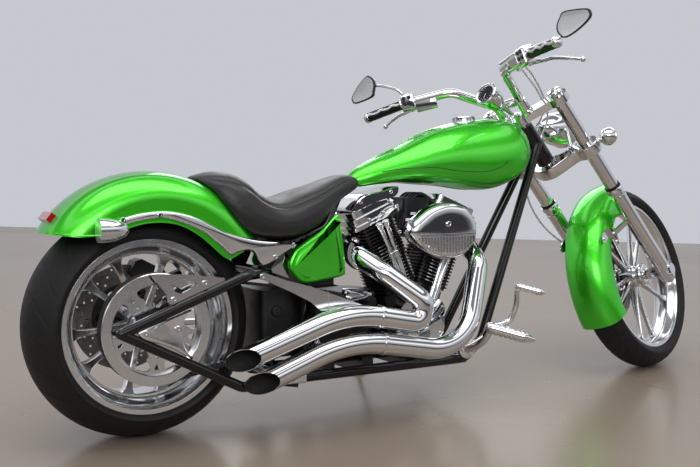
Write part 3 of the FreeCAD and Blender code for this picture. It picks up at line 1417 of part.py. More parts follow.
def caliper(disc_radius, y, degrees):
    """A block that straddles the disc's rim, drawn about the wheel's axis."""
    half = CALIPER_WIDTH / 2
    block = prism(CALIPER_LENGTH / 2, CALIPER_HEIGHT / 2, CALIPER_CORNER, -half, half)
    block.rotate(ORIGIN, X_AXIS, 90)
    block.translate(vec(0, y, disc_radius))
    slot = Part.makeCylinder(
        disc_radius + MOVING_GAP, CALIPER_SLOT + REAR_DISC_THICKNESS, vec(0, y - (CALIPER_SLOT + REAR_DISC_THICKNESS) / 2, 0), Y_AXIS)
    block = block.cut(slot)
    block.rotate(ORIGIN, Y_AXIS, 90 - degrees)
    return block


def rear_caliper():
    y = REAR_HUB_LEFT + REAR_DISC_THICKNESS / 2
    block = caliper(REAR_DISC_RADIUS, y, REAR_CALIPER_DEG)
    block.translate(REAR_AXLE)
    angle = math.radians(REAR_CALIPER_DEG)
    middle = REAR_AXLE + vec(math.cos(angle), 0, math.sin(angle)) * REAR_DISC_RADIUS
    outer = middle + Y_AXIS * (y + CALIPER_WIDTH / 2 - CALIPER_CORNER)
    upper = swing_paths()[0]
    slope = (upper[1].z - upper[0].z) / (upper[1].x - upper[0].x)
    hold = vec(middle.x, SWING_Y, upper[0].z + slope * (middle.x - upper[0].x))
    arm = rod(outer, hold, CALIPER_LUG_RADIUS)
    return largest(fused([block, arm]).cut(mirrored(tube(upper, SWING_TUBE_RADIUS + FIT_GAP, SWING_BEND))))


# Foot controls

def foot_control():
    """One side: a bracket from the cradle, an arm outward and a peg swept forward."""
    inside = CRADLE_Y + FRAME_TUBE_RADIUS + FIT_GAP
    foot = vec(CONTROL_PLATE_X, -inside, CONTROL_PLATE_Z)
    elbow = vec(CONTROL_ARM_X, -CONTROL_ARM_Y, CONTROL_ARM_Z)
    yaw = math.radians(PEG_YAW_DEG)
    drop = math.radians(PEG_DROP_DEG)
    out = vec(math.sin(yaw) * math.cos(drop), -math.cos(yaw) * math.cos(drop), -math.sin(drop))
    tip = elbow + out * PEG_LENGTH
    neck = tip - out * (PEG_LENGTH * PEG_TIP_SHARE)
    parts = [
        rod(foot, foot - Y_AXIS * CONTROL_PLATE_THICKNESS, CONTROL_ARM_RADIUS * 2),
        rod(foot, elbow, CONTROL_ARM_RADIUS),
        Part.makeSphere(CONTROL_ARM_RADIUS, elbow),
        rod(elbow, neck, PEG_RADIUS),
        cone(neck, tip, PEG_RADIUS, PEG_RADIUS / 4),
    ]
    lever = [
        elbow,
        vec(LEVER_MID_X, -LEVER_MID_Y, LEVER_MID_Z),
        vec(LEVER_TOP_X, -LEVER_TOP_Y, LEVER_TOP_Z),
    ]
    toe = lever[-1] + out * TOE_PEG_LENGTH
    toe_neck = lever[-1] + out * (TOE_PEG_LENGTH * (1 - PEG_TIP_SHARE))
    parts += [
        tube(lever, LEVER_RADIUS, LEVER_BEND),
        Part.makeSphere(TOE_PEG_RADIUS, lever[-1]),
        rod(lever[-1], toe_neck, TOE_PEG_RADIUS),
        cone(toe_neck, toe, TOE_PEG_RADIUS, TOE_PEG_RADIUS / 4),
    ]
    return fused(parts)


def foot_controls():
    return both_sides(foot_control())


# Fork, bars and what they carry, in the fork's frame

def fork_point(back, y, up):
    return vec(-back, y, up)


def clamp(low):
    """One bridge of the fork: a boss on the stem and an eye round each leg."""
    parts = [rod(vec(0, 0, low), vec(0, 0, low + CLAMP_THICKNESS), CLAMP_BOSS_RADIUS)]
    for side in (-1, 1):
        leg = vec(FORK_OFFSET, side * LEG_HALF_SPACING, low)
        parts.append(Part.makeCylinder(LEG_RADIUS + CLAMP_WALL, CLAMP_THICKNESS, leg, Z_AXIS))
        across = unit(Z_AXIS.cross(leg - vec(0, 0, low))) * CLAMP_WEB
        start = vec(0, 0, low)
        web = outline_face([start + across, leg + across, leg - across, start - across])
        parts.append(web.extrude(vec(0, 0, CLAMP_THICKNESS)))
    holes = []
    for side in (-1, 1):
        leg = vec(FORK_OFFSET, side * LEG_HALF_SPACING, low - CUT_OVERRUN)
        holes.append(Part.makeCylinder(LEG_RADIUS + FIT_GAP, CLAMP_THICKNESS + 2 * CUT_OVERRUN, leg, Z_AXIS))
    return fused(parts).cut(holes)


def lower_clamp():
    """The lower bridge with the stem that turns in the neck."""
    low = LOWER_CLAMP_TOP - CLAMP_THICKNESS
    stem = rod(vec(0, 0, low), vec(0, 0, UPPER_CLAMP_LOW - FIT_GAP), STEM_RADIUS)
    return fused([clamp(low), stem])


def upper_clamp():
    return clamp(UPPER_CLAMP_LOW)


def leg_tools(grow):
    tools = []
    for side in (-1, 1):
        at = side * LEG_HALF_SPACING
        tools.append(rod(vec(FORK_OFFSET, at, SLIDER_LOW), vec(FORK_OFFSET, at, SLIDER_TOP), SLIDER_RADIUS + grow))
        tools.append(rod(vec(FORK_OFFSET, at, SLIDER_TOP), vec(FORK_OFFSET, at, LEG_TOP), LEG_RADIUS + grow))
    return tools


def fork_legs():
    """Two legs with larger sliders, and the axle through their ends."""
    parts = leg_tools(0)
    end = LEG_HALF_SPACING + SLIDER_RADIUS + AXLE_CAP_DEPTH
    parts.append(rod(vec(FORK_OFFSET, -end, 0), vec(FORK_OFFSET, end, 0), FRONT_AXLE_RADIUS))
    left = FRONT_DISC_Y + FRONT_DISC_THICKNESS + AXLE_END_GAP
    right = -FRONT_HUB_HALF_WIDTH - AXLE_END_GAP
    parts.append(rod(vec(FORK_OFFSET, left, 0), vec(FORK_OFFSET, LEG_HALF_SPACING, 0), AXLE_COLLAR_RADIUS))
    parts.append(rod(vec(FORK_OFFSET, right, 0), vec(FORK_OFFSET, -LEG_HALF_SPACING, 0), AXLE_COLLAR_RADIUS))
    for side in (-1, 1):
        start = vec(FORK_OFFSET, side * LEG_HALF_SPACING, 0)
        parts.append(rod(start, start + Y_AXIS * side * (SLIDER_RADIUS + AXLE_CAP_DEPTH), AXLE_CAP_RADIUS))
    return fused(parts)


def bar_side(side):
    """Half of the bar's path, from its middle to the grip's outer end."""
    rise = UPPER_CLAMP_LOW + CLAMP_THICKNESS + RISER_HEIGHT
    return [
        vec(BAR_AHEAD, 0, rise),
        vec(BAR_AHEAD, side * RISER_Y, rise),
        fork_point(BAR_BEND_BACK, side * BAR_BEND_Y, BAR_BEND_HEIGHT),
        fork_point(GRIP_IN_BACK, side * GRIP_IN_Y, GRIP_IN_HEIGHT),
        fork_point(GRIP_OUT_BACK, side * GRIP_OUT_Y, GRIP_OUT_HEIGHT),
    ]


def handlebar():
    rise = UPPER_CLAMP_LOW + CLAMP_THICKNESS
    parts = []
    for side in (-1, 1):
        path = bar_side(side)
        parts.append(tube(path[:4], BAR_RADIUS, BAR_CURVE))
        grip = path[4] - path[3]
        parts.append(rod(path[3] - unit(grip) * BAR_RADIUS, path[4], GRIP_BAR_RADIUS))
        foot = vec(BAR_AHEAD, side * RISER_Y, rise + FIT_GAP)
        parts.append(rod(foot, foot + Z_AXIS * (RISER_HEIGHT - FIT_GAP), RISER_RADIUS))
    return fused(parts)


def grips():
    made = []
    for side in (-1, 1):
        path = bar_side(side)
        along = unit(path[4] - path[3])
        sleeve = rod(path[3] + along * POD_LENGTH, path[4] + along * GRIP_CAP_LENGTH, GRIP_RADIUS)
        hole = rod(path[3], path[4] + along * FIT_GAP, GRIP_BAR_RADIUS + FIT_GAP)
        made.append(sleeve.cut(hole))
    return made


def hand_controls():
    """Each side: a switch pod round the bar, a reservoir or perch ahead of it and a lever."""
    made = []
    for side in (-1, 1):
        path = bar_side(side)
        along = unit(path[4] - path[3])
        ahead = unit(Z_AXIS.cross(along)) * -side
        start = path[3] - along * (POD_LENGTH / 4)
        end = path[3] + along * (POD_LENGTH - FIT_GAP)
        hole = rod(start - along * CUT_OVERRUN, end + along * CUT_OVERRUN, BAR_RADIUS + FIT_GAP)
        pod = rod(start, end, POD_RADIUS)
        root = path[3] + ahead * (POD_RADIUS + HAND_LEVER_REACH / 4)
        knee = path[3] + along * HAND_LEVER_REACH + ahead * HAND_LEVER_REACH
        tip = path[4] + ahead * HAND_LEVER_REACH
        lever = tube([path[3] + ahead * BAR_RADIUS, root + along * HAND_LEVER_THICKNESS, knee, tip], HAND_LEVER_THICKNESS, BAR_CURVE)
        ball = Part.makeSphere(HAND_LEVER_BALL, tip)
        tank = reservoir(path[3], -along, ahead)
        parts = [pod, lever, ball]
        if side < 0:
            parts.append(tank)
        made.append(largest(fused(parts).cut([hole, bar_tool(side)])))
    return made


def bar_tool(side):
    return tube(bar_side(side)[:4], BAR_RADIUS + FIT_GAP, BAR_CURVE)


def reservoir(start, along, ahead):
    """The front brake's fluid box, beside the bar inboard of the switch pod."""
    up = unit(ahead.cross(along))
    up = up if up.z > 0 else -up
    near = start + ahead * (BAR_RADIUS + FIT_GAP) - up * (RESERVOIR_HEIGHT / 2)
    face = outline_face([near, near + ahead * RESERVOIR_WIDTH, near + ahead * RESERVOIR_WIDTH + up * RESERVOIR_HEIGHT, near + up * RESERVOIR_HEIGHT])
    return face.extrude(along * RESERVOIR_LENGTH)


def mirrors():
    """A kite-shaped head each side on a thin stem from the switch pod."""
    made = []
    for side in (-1, 1):
        path = bar_side(side)
        along = unit(path[4] - path[3])
        root = path[3] + Z_AXIS * POD_RADIUS
        middle = fork_point(MIRROR_BACK, side * MIRROR_Y, MIRROR_HEIGHT_AT)
        ring = [vec(0, a * MIRROR_LENGTH * side, b * MIRROR_HEIGHT) for a, b in MIRROR_SHARES]
        head = curved_face(ring).extrude(vec(MIRROR_DEPTH, 0, 0))
        head.rotate(ORIGIN, Y_AXIS, RAKE_DEG)
        head.translate(middle)
        stem = tube([root, root + Z_AXIS * MIRROR_DEPTH * 2, middle + vec(MIRROR_DEPTH / 2, 0, 0)], MIRROR_STEM_RADIUS, BAR_CURVE)
        hole = rod(path[3] - along * POD_LENGTH, path[4], POD_RADIUS + FIT_GAP)
        made.append(largest(fused([head, stem]).cut(hole)))
    return made


def bullet(radius, length, shares):
    """A round body about x, open face at x = 0 and its nose at x = length."""
    curve = Part.BSplineCurve()
    curve.interpolate([vec(a * length, b * radius, 0) for a, b in shares])
    ends = [curve.StartPoint, curve.EndPoint]
    ring = [curve.toShape()]
    if ends[1].y > 0:
        ring.append(Part.LineSegment(ends[1], vec(ends[1].x, 0, 0)).toShape())
    ring.append(Part.LineSegment(vec(ends[1].x, 0, 0), vec(ends[0].x, 0, 0)).toShape())
    if ends[0].y > 0:
        ring.append(Part.LineSegment(vec(ends[0].x, 0, 0), ends[0]).toShape())
    return Part.Face(Part.Wire(ring)).revolve(ORIGIN, X_AXIS, 360)


def speedometer():
    """A bullet pod on the bar, its dial towards the rider."""
    pod = bullet(SPEEDO_RADIUS, SPEEDO_LENGTH, SPEEDO_NOSE_SHARES)
    pod.rotate(ORIGIN, Y_AXIS, RAKE_DEG + SPEEDO_TILT_DEG)
    face = fork_point(SPEEDO_BACK, 0, SPEEDO_HEIGHT)
    pod.translate(face)
    rise = UPPER_CLAMP_LOW + CLAMP_THICKNESS + RISER_HEIGHT
    post = rod(vec(BAR_AHEAD, 0, rise + BAR_RADIUS + FIT_GAP), vec(BAR_AHEAD, 0, SPEEDO_HEIGHT - SPEEDO_RADIUS), STEM_RADIUS / 2)
    arm = rod(vec(BAR_AHEAD, 0, SPEEDO_HEIGHT - SPEEDO_RADIUS), face + unit(vec(1, 0, -1)) * (SPEEDO_LENGTH / 2), STEM_RADIUS / 2)
    return fused([pod, post, arm])


def headlight():
    """A bullet lamp between the legs, its lens ahead, hung from the lower bridge."""
    lamp = bullet(HEADLIGHT_RADIUS, HEADLIGHT_LENGTH, HEADLIGHT_SHARES)
    lamp.translate(vec(-HEADLIGHT_LENGTH / 2, 0, 0))
    lamp.rotate(ORIGIN, Y_AXIS, RAKE_DEG)
    middle = vec(HEADLIGHT_AHEAD, 0, HEADLIGHT_HEIGHT)
    lamp.translate(middle)
    foot = vec(CLAMP_BOSS_RADIUS + FIT_GAP, 0, LOWER_CLAMP_TOP - CLAMP_THICKNESS / 2)
    knee = foot + X_AXIS * HEADLIGHT_KNEE
    post = rod(foot, knee, HEADLIGHT_ARM_RADIUS)
    arm = rod(knee, middle, HEADLIGHT_ARM_RADIUS)
    return fused([lamp, post, Part.makeSphere(HEADLIGHT_ARM_RADIUS, knee), arm])


def front_signals():
    made = []
    for side in (-1, 1):
        ball = Part.makeSphere(SIGNAL_RADIUS, vec(SIGNAL_AHEAD, side * SIGNAL_Y, SIGNAL_HEIGHT))
        eye = vec(FORK_OFFSET, side * LEG_HALF_SPACING, SIGNAL_HEIGHT)
        stalk = rod(eye, vec(SIGNAL_AHEAD, side * SIGNAL_Y, SIGNAL_HEIGHT), SIGNAL_STALK_RADIUS)
        keep_out = rod(
            eye - Z_AXIS * CLAMP_THICKNESS, eye + Z_AXIS * CLAMP_THICKNESS, LEG_RADIUS + CLAMP_WALL + FIT_GAP)
        made.append(fused([ball, stalk]).cut(keep_out))
    return made


def front_fender_section(grow):
    radius = FRONT_FENDER_RADIUS + grow
    half = FRONT_FENDER_HALF_WIDTH + grow
    right = [(a * half, radius - b * FRONT_FENDER_RADIUS) for a, b in FRONT_FENDER_SECTION_SHARES]
    left = [(-y, r) for y, r in reversed(right[1:])]
    return left + right


def front_fender():
    """A shell behind the front tyre, on a stay from each fork leg."""
    shells = []
    for grow in (0, -FRONT_FENDER_WALL):
        ring = front_fender_section(grow)
        if grow:
            ring = [(ring[0][0], ring[0][1] - CUT_OVERRUN)] + ring + [(ring[-1][0], ring[-1][1] - CUT_OVERRUN)]
        curve = Part.BSplineCurve()
        curve.interpolate([vec(r, y, 0) for y, r in ring])
        close = Part.LineSegment(curve.EndPoint, curve.StartPoint).toShape()
        sweep = FRONT_FENDER_SWEEP_DEG + (2 if grow else 0)
        start = FRONT_FENDER_START_DEG - (1 if grow else 0)
        shell = Part.Face(Part.Wire([curve.toShape(), close])).revolve(ORIGIN, -Y_AXIS, sweep)
        shell.rotate(ORIGIN, -Y_AXIS, start - RAKE_DEG)
        shells.append(shell)
    body = shells[0].cut(shells[1])
    body.translate(FRONT_AXLE)
    stays = []
    for side in (-1, 1):
        leg = vec(FORK_OFFSET, side * LEG_HALF_SPACING, FENDER_STAY_HEIGHT)
        inner = vec(FORK_OFFSET - FENDER_STAY_RADIUS * 2, side * (FRONT_FENDER_HALF_WIDTH - FRONT_FENDER_WALL / 2), FENDER_STAY_HEIGHT)
        stays.append(rod(leg, inner, FENDER_STAY_RADIUS).cut(leg_tools(FIT_GAP)))
    return fused([body] + stays)


def front_caliper():
    degrees = FRONT_CALIPER_DEG - RAKE_DEG
    y = FRONT_DISC_Y + FRONT_DISC_THICKNESS / 2
    block = caliper(FRONT_DISC_RADIUS, y, degrees)
    block.translate(FRONT_AXLE)
    angle = math.radians(degrees)
    middle = FRONT_AXLE + vec(math.cos(angle), 0, math.sin(angle)) * FRONT_DISC_RADIUS
    outer = middle + Y_AXIS * (y + CALIPER_WIDTH / 2 - CALIPER_CORNER)
    arm = rod(outer, vec(FORK_OFFSET, LEG_HALF_SPACING, middle.z), CALIPER_LUG_RADIUS)
    return largest(fused([block, arm]).cut(leg_tools(FIT_GAP)))


# Side stand

def stand_frame():
    """Pivot, foot and fold of the stand, upright bike's frame: the foot is on the ground when leaned."""
    pivot = vec(STAND_PIVOT_X, STAND_PIVOT_Y, STAND_PIVOT_Z)
    on_ground = STANCE.multVec(pivot)
    foot = vec(on_ground.x + on_ground.z * STAND_FORWARD_SHARE, on_ground.y + STAND_SPREAD, 0)
    return pivot, STANCE.inverse().multVec(foot)


def stand_axis():
    """The hinge's axis and the angle from down to folded back along the bike."""
    pivot, foot = stand_frame()
    down = unit(foot - pivot)
    folded = unit(vec(-1, STAND_FOLD_OUT_SHARE, STAND_FOLD_RISE_SHARE))
    axis = unit(down.cross(folded))
    return axis, math.degrees(down.getAngle(folded))


def side_stand():
    pivot, foot = stand_frame()
    axis, fold = stand_axis()
    down = unit(foot - pivot)
    ground_up = STANCE.inverse().Rotation.multVec(Z_AXIS)
    pad = Part.makeCylinder(STAND_FOOT_RADIUS, STAND_FOOT_THICKNESS, foot, ground_up)
    ankle = foot + ground_up * (STAND_FOOT_THICKNESS / 2)
    leg = rod(pivot, ankle, STAND_LEG_RADIUS)
    half = axis * (STAND_BOSS_WIDTH / 2)
    boss = rod(pivot - half, pivot + half, STAND_BOSS_RADIUS)
    pad_keep = fused([boss, leg, pad])
    bore = rod(pivot - half * 2, pivot + half * 2, STAND_PIN_RADIUS + RUNNING_GAP)
    floor = Part.makeBox(GROUND_CUT, GROUND_CUT, GROUND_CUT, vec(-GROUND_CUT / 2, -GROUND_CUT / 2, -GROUND_CUT))
    floor.translate(STANCE.multVec(foot))
    floor = placed(floor, STANCE.inverse())
    return pad_keep.cut([bore, floor])


def stand_bracket():
    """The pin the stand turns on, its head, and the cheek that carries it from the left cradle rail."""
    pivot = vec(STAND_PIVOT_X, STAND_PIVOT_Y, STAND_PIVOT_Z)
    axis, fold = stand_axis()
    half = axis * (STAND_BOSS_WIDTH / 2 + FIT_GAP)
    wall = axis * STAND_PIN_RADIUS
    pin = rod(pivot - half - wall, pivot + half + wall, STAND_PIN_RADIUS)
    head = rod(pivot + half, pivot + half + wall, STAND_BOSS_RADIUS)
    cheek = rod(pivot - half - wall, pivot - half, STAND_BOSS_RADIUS)
    link = rod(pivot - half - wall / 2, vec(pivot.x, CRADLE_Y, CRADLE_Z), STAND_PIN_RADIUS / 2)
    return [pin, head, cheek, link]


# Assembly

def compound(shapes):
    return Part.makeCompound(list(shapes)) if isinstance(shapes, list) else shapes


def root_nodes():
    return {
        "frame": frame(),
        "swingarm": swingarm(),
        "rear_axle": rear_axle(),
        "belt": belt(),
        "belt_guards": belt_guards(),
        "rear_caliper": rear_caliper(),
        "rear_fender": rear_fender(),
        "fender_struts": fender_struts(),
        "rear_lamps": rear_lamps(),
        "seat": seat(),
        "fuel_tank": fuel_tank(),
        "fuel_cap": tank_cap(0),
        "side_covers": both_sides(side_cover()),
        "battery_box": battery_box(),
        "crankcase": crankcase(),
        "cylinders": cylinders(),
        "rocker_boxes": rocker_boxes(),
        "pushrods": pushrods() + [cam_covers()],
        "air_cleaner": air_cleaner(),
        "gearbox": gearbox(),
        "primary_cover": primary_cover(),
        "exhaust_front": exhaust_front(),
        "exhaust_rear": exhaust_rear(),
        "foot_controls": foot_controls(),
    }


def steering_nodes():
    return {
        "upper_clamp": upper_clamp(),
        "lower_clamp": lower_clamp(),
        "fork_legs": fork_legs(),
        "handlebar": handlebar(),
        "grips": grips(),
        "hand_controls": hand_controls(),
        "mirrors": mirrors(),
        "speedometer": speedometer(),
        "headlight": headlight(),
        "front_signals": front_signals(),
        "front_fender": front_fender(),
        "front_caliper": front_caliper(),
    }


def front_wheel_nodes():
    made = {
        "front_tyre": tyre(
            FRONT_TYRE_RADIUS, FRONT_TYRE_WIDTH, FRONT_CROWN_RADIUS, FRONT_BEAD_RADIUS, FRONT_RIM_WIDTH, FRONT_LIP_RADIUS,
            STANCE.multiply(STEERED)),
        "front_rim": front_rim(),
        "front_disc": front_disc(),
    }
    return {name: moved(shape, FRONT_AXLE) for name, shape in made.items()}


def rear_wheel_nodes():
    made = {
        "rear_tyre": tyre(
            REAR_TYRE_RADIUS, REAR_TYRE_WIDTH, REAR_CROWN_RADIUS, REAR_BEAD_RADIUS, REAR_RIM_WIDTH, REAR_LIP_RADIUS,
            STANCE),
        "rear_rim": rear_rim(),
        "rear_disc": rear_disc(),
        "rear_pulley": rear_pulley(),
    }
    return {name: moved(shape, REAR_AXLE) for name, shape in made.items()}


def bodies():
    """Each body's nodes, in the leaned stance, before the shift to the origin."""
    sets = {
        "root": (root_nodes(), STANCE),
        "steering": (steering_nodes(), STANCE.multiply(STEERED)),
        "front_wheel": (front_wheel_nodes(), STANCE.multiply(STEERED)),
        "rear_wheel": (rear_wheel_nodes(), STANCE),
        "side_stand": ({"side_stand": side_stand()}, STANCE),
    }
    made = {}
    for body, (nodes, placement) in sets.items():
        made[body] = {name: placed(compound(shape), placement) for name, shape in nodes.items()}
    return made


def origin_shift(made):
    """Brings the bottom centre of the whole bike's box to the origin."""
    whole = FreeCAD.BoundBox()
    for nodes in made.values():
        for shape in nodes.values():
            whole.add(shape.optimalBoundingBox(True, False))
    return vec(-whole.Center.x, -whole.Center.y, -whole.ZMin)


def joints(shift):
    """Joint name to its parent, child, axis point, axis and range in degrees, in the stored frame."""
    steer_place = STANCE.multiply(STEERED)
    pivot, foot = stand_frame()
    axis, fold = stand_axis()
    return {
        "steering_turn": (
            "root", "steering", STANCE.multVec(neck_point(NECK_LOW)) + shift,
            STANCE.Rotation.multVec(FORK.Rotation.multVec(Z_AXIS)), (-2 * STEER_STOP_DEG, 0)),
        "front_wheel_spin": (
            "steering", "front_wheel", steer_place.multVec(FRONT_AXLE) + shift,
            steer_place.Rotation.multVec(Y_AXIS), None),
        "rear_wheel_spin": (
            "root", "rear_wheel", STANCE.multVec(REAR_AXLE) + shift, STANCE.Rotation.multVec(Y_AXIS), None),
        "side_stand_fold": (
            "root", "side_stand", STANCE.multVec(pivot) + shift, STANCE.Rotation.multVec(axis), (0, fold)),
    }


def main():
    os.makedirs("parts", exist_ok=True)
    made = bodies()
    shift = origin_shift(made)
    for nodes in made.values():
        for name, shape in nodes.items():
            moved(shape, shift).exportStep("parts/" + name + ".step")
    return made, shift


if __name__ == "__main__":
    main()
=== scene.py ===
"""The looks of a raked chopper motorcycle on its side stand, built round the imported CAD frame."""

import json
import math

import bmesh
import bpy
from mathutils import Matrix, Vector
from mathutils.bvhtree import BVHTree
from mathutils.geometry import tessellate_polygon


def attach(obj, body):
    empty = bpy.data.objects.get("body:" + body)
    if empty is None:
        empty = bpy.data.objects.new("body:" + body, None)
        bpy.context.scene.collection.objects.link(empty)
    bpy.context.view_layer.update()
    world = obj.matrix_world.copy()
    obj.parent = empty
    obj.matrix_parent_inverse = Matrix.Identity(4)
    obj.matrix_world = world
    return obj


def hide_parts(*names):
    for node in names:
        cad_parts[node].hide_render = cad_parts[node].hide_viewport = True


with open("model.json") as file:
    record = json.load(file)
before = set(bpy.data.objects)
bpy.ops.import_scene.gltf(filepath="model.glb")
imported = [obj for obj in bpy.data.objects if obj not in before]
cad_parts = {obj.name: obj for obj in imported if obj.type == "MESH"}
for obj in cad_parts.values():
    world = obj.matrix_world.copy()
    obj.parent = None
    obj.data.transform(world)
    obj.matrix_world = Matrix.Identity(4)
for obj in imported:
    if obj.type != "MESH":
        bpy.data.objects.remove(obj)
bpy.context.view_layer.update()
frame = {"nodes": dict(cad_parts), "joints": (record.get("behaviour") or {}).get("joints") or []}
nodes = frame["nodes"]

# The bike's stance: small sizes below are millimetres in one of these frames
MM = 0.001
WHEEL_RADIUS = 328.0
FORK_OFFSET = 66.0
LEG_Y = 138.0
LEAN = math.radians(4)
PITCH = 0.0041988
RAKE = math.radians(40)
STOP = math.radians(23)


def joint_place(name):
    return Vector(next(j["pos_m"] for j in frame["joints"] if j["name"] == name))


def frame_at(turn, known, local):
    """The frame with this turn in which the known point has these local coordinates."""
    turn = turn.to_4x4()
    return Matrix.Translation(known - turn @ (Vector(local) * MM)) @ turn @ Matrix.Scale(MM, 4)


ROOT_TURN = Matrix.Rotation(PITCH, 3, "Y") @ Matrix.Rotation(-LEAN, 3, "X")
FORK_TURN = ROOT_TURN @ Matrix.Rotation(-RAKE, 3, "Y") @ Matrix.Rotation(STOP, 3, "Z")
ROOT = frame_at(ROOT_TURN, joint_place("rear_wheel_spin"), (0, 0, WHEEL_RADIUS))
FORK = frame_at(FORK_TURN, joint_place("front_wheel_spin"), (FORK_OFFSET, 0, 0))
ROOT_BACK = ROOT.inverted()
REAR = ROOT @ Matrix.Translation((0, 0, WHEEL_RADIUS))
FRONT = FORK @ Matrix.Translation((FORK_OFFSET, 0, 0))
Y_AXIS, Z_AXIS = Vector((0, 1, 0)), Vector((0, 0, 1))


# Materials

def node_of(tree, kind, **values):
    node = tree.nodes.new("ShaderNode" + kind)
    for key, value in values.items():
        if key in node.inputs:
            node.inputs[key].default_value = value
        else:
            setattr(node, key, value)
    return node


def join(tree, start, output, end, entry):
    tree.links.new(start.outputs[output], end.inputs[entry])


def relief(tree, place, texture, strength, distance, output="Fac"):
    """A fine bump from one texture in object coordinates."""
    bump = node_of(tree, "Bump", Strength=strength, Distance=distance)
    join(tree, place, "Object", texture, "Vector")
    join(tree, texture, output, bump, "Height")
    join(tree, bump, "Normal", tree.nodes["Principled BSDF"], "Normal")


NOISE_LOW, NOISE_HIGH = 0.3, 0.7


def finish_of(name, dark, light, metallic=0.0, rough=(0.3, 0.4), grain=40.0, bump=0.0, **extra):
    """A surface whose colour and gloss drift with noise, over a fine bump."""
    mat = bpy.data.materials.new(name)
    mat.use_nodes = True
    tree = mat.node_tree
    shader = tree.nodes["Principled BSDF"]
    shader.inputs["Metallic"].default_value = metallic
    for key, value in extra.items():
        shader.inputs[key.replace("_", " ")].default_value = value
    place = node_of(tree, "TexCoord")
    noise = node_of(tree, "TexNoise", Scale=grain, Detail=4.0)
    colour = node_of(tree, "Mix", data_type="RGBA")
    colour.inputs[6].default_value = (*dark, 1)
    colour.inputs[7].default_value = (*light, 1)
    gloss = node_of(tree, "MapRange", **{
        "From Min": NOISE_LOW, "From Max": NOISE_HIGH, "To Min": rough[0], "To Max": rough[1]})
    join(tree, place, "Object", noise, "Vector")
    join(tree, noise, "Fac", colour, 0)
    join(tree, colour, 2, shader, "Base Color")
    join(tree, noise, "Fac", gloss, "Value")
    join(tree, gloss, "Result", shader, "Roughness")
    if bump:
        relief(tree, place, node_of(tree, "TexNoise", Scale=6 * grain, Detail=3.0), bump, 0.0005)
    return mat


def candy_paint(name, deep, bright):
    """Clear coat over coloured flake, darker where it turns away."""
    return finish_of(
        name, deep, bright, metallic=0.86, rough=(0.3, 0.36), grain=900.0, Coat_Weight=1.0,
        Coat_Roughness=0.015, Specular_Tint=(0.02, 0.28, 0.02, 1))


def leather(name):
    mat = finish_of(name, (0.006, 0.006, 0.0065), (0.019, 0.0185, 0.0185), rough=(0.34, 0.46), grain=14.0)
    tree = mat.node_tree
    pores = node_of(tree, "TexVoronoi", Scale=420.0, feature="DISTANCE_TO_EDGE")
    relief(tree, node_of(tree, "TexCoord"), pores, 0.35, 0.0004, "Distance")
    return mat


def braid(name):
    """Woven steel: fine waves round a cable."""
    mat = finish_of(name, (0.55, 0.55, 0.55), (0.85, 0.85, 0.85), metallic=0.8, rough=(0.25, 0.4),
                    grain=300.0)
    tree = mat.node_tree
    waves = node_of(tree, "TexWave", Scale=500.0, Distortion=2.0)
    relief(tree, node_of(tree, "TexCoord"), waves, 0.8, 0.0006)
    return mat


CHROME = finish_of("chrome", (0.66, 0.67, 0.69), (0.82, 0.83, 0.84), metallic=1.0, rough=(0.025, 0.06),
                   grain=9.0)
ALLOY = finish_of("polished_alloy", (0.66, 0.67, 0.68), (0.84, 0.85, 0.86), metallic=1.0, rough=(0.1, 0.18),
                  grain=30.0)
BRIGHT = finish_of("machined_alloy", (0.62, 0.62, 0.63), (0.85, 0.85, 0.86), metallic=0.9, rough=(0.25, 0.35))
DISC = finish_of("disc_steel", (0.13, 0.125, 0.12), (0.26, 0.25, 0.24), metallic=1.0, rough=(0.25, 0.4),
                 grain=70.0)
GLOSS_BLACK = finish_of(
    "frame_black", (0.002, 0.002, 0.0025), (0.005, 0.005, 0.006), rough=(0.12, 0.18), Coat_Weight=0.4,
    Coat_Roughness=0.03, Specular_IOR_Level=0.3)
SATIN_BLACK = finish_of("black_metal", (0.006, 0.006, 0.007), (0.018, 0.018, 0.02), metallic=0.2,
                        rough=(0.32, 0.46), bump=0.15)
SOOT = finish_of("pipe_inside", (0.003, 0.003, 0.003), (0.01, 0.009, 0.008), rough=(0.7, 0.9))
RUBBER = finish_of(
    "tyre_rubber", (0.005, 0.005, 0.0055), (0.011, 0.011, 0.0115), rough=(0.5, 0.66), grain=60.0, bump=0.25,
    Specular_IOR_Level=0.35)
BELT_RUBBER = finish_of("belt_rubber", (0.006, 0.006, 0.006), (0.014, 0.014, 0.014), rough=(0.5, 0.7),
                        bump=0.2)
GRIP = finish_of("grip_rubber", (0.004, 0.004, 0.004), (0.01, 0.01, 0.01), rough=(0.3, 0.45), bump=0.2)
LEATHER = leather("seat_leather")
PAINT = candy_paint("candy_green", (0.035, 0.6, 0.012), (0.09, 0.84, 0.03))
PINSTRIPE = finish_of("pinstripe", (0.002, 0.02, 0.003), (0.004, 0.035, 0.006), rough=(0.25, 0.35),
                      Coat_Weight=1.0)
LENS = {"rough": (0.08, 0.12), "Coat_Weight": 1.0}
RED_LENS = finish_of("red_lens", (0.35, 0.005, 0.005), (0.5, 0.01, 0.008), **LENS)
AMBER_LENS = finish_of("amber_lens", (0.6, 0.16, 0.01), (0.75, 0.25, 0.02), **LENS)
CLEAR_LENS = finish_of("clear_lens", (0.5, 0.52, 0.55), (0.8, 0.82, 0.85), metallic=0.6, rough=(0.05, 0.12),
                       Coat_Weight=1.0)
MIRROR_GLASS = finish_of("mirror_glass", (0.55, 0.56, 0.58), (0.62, 0.63, 0.65), metallic=0.35,
                         rough=(0.06, 0.12), grain=18.0)
DIAL = finish_of("dial_glass", (0.004, 0.004, 0.005), (0.009, 0.009, 0.01), rough=(0.04, 0.08),
                 Coat_Weight=1.0)
BRAID = braid("steel_braid")


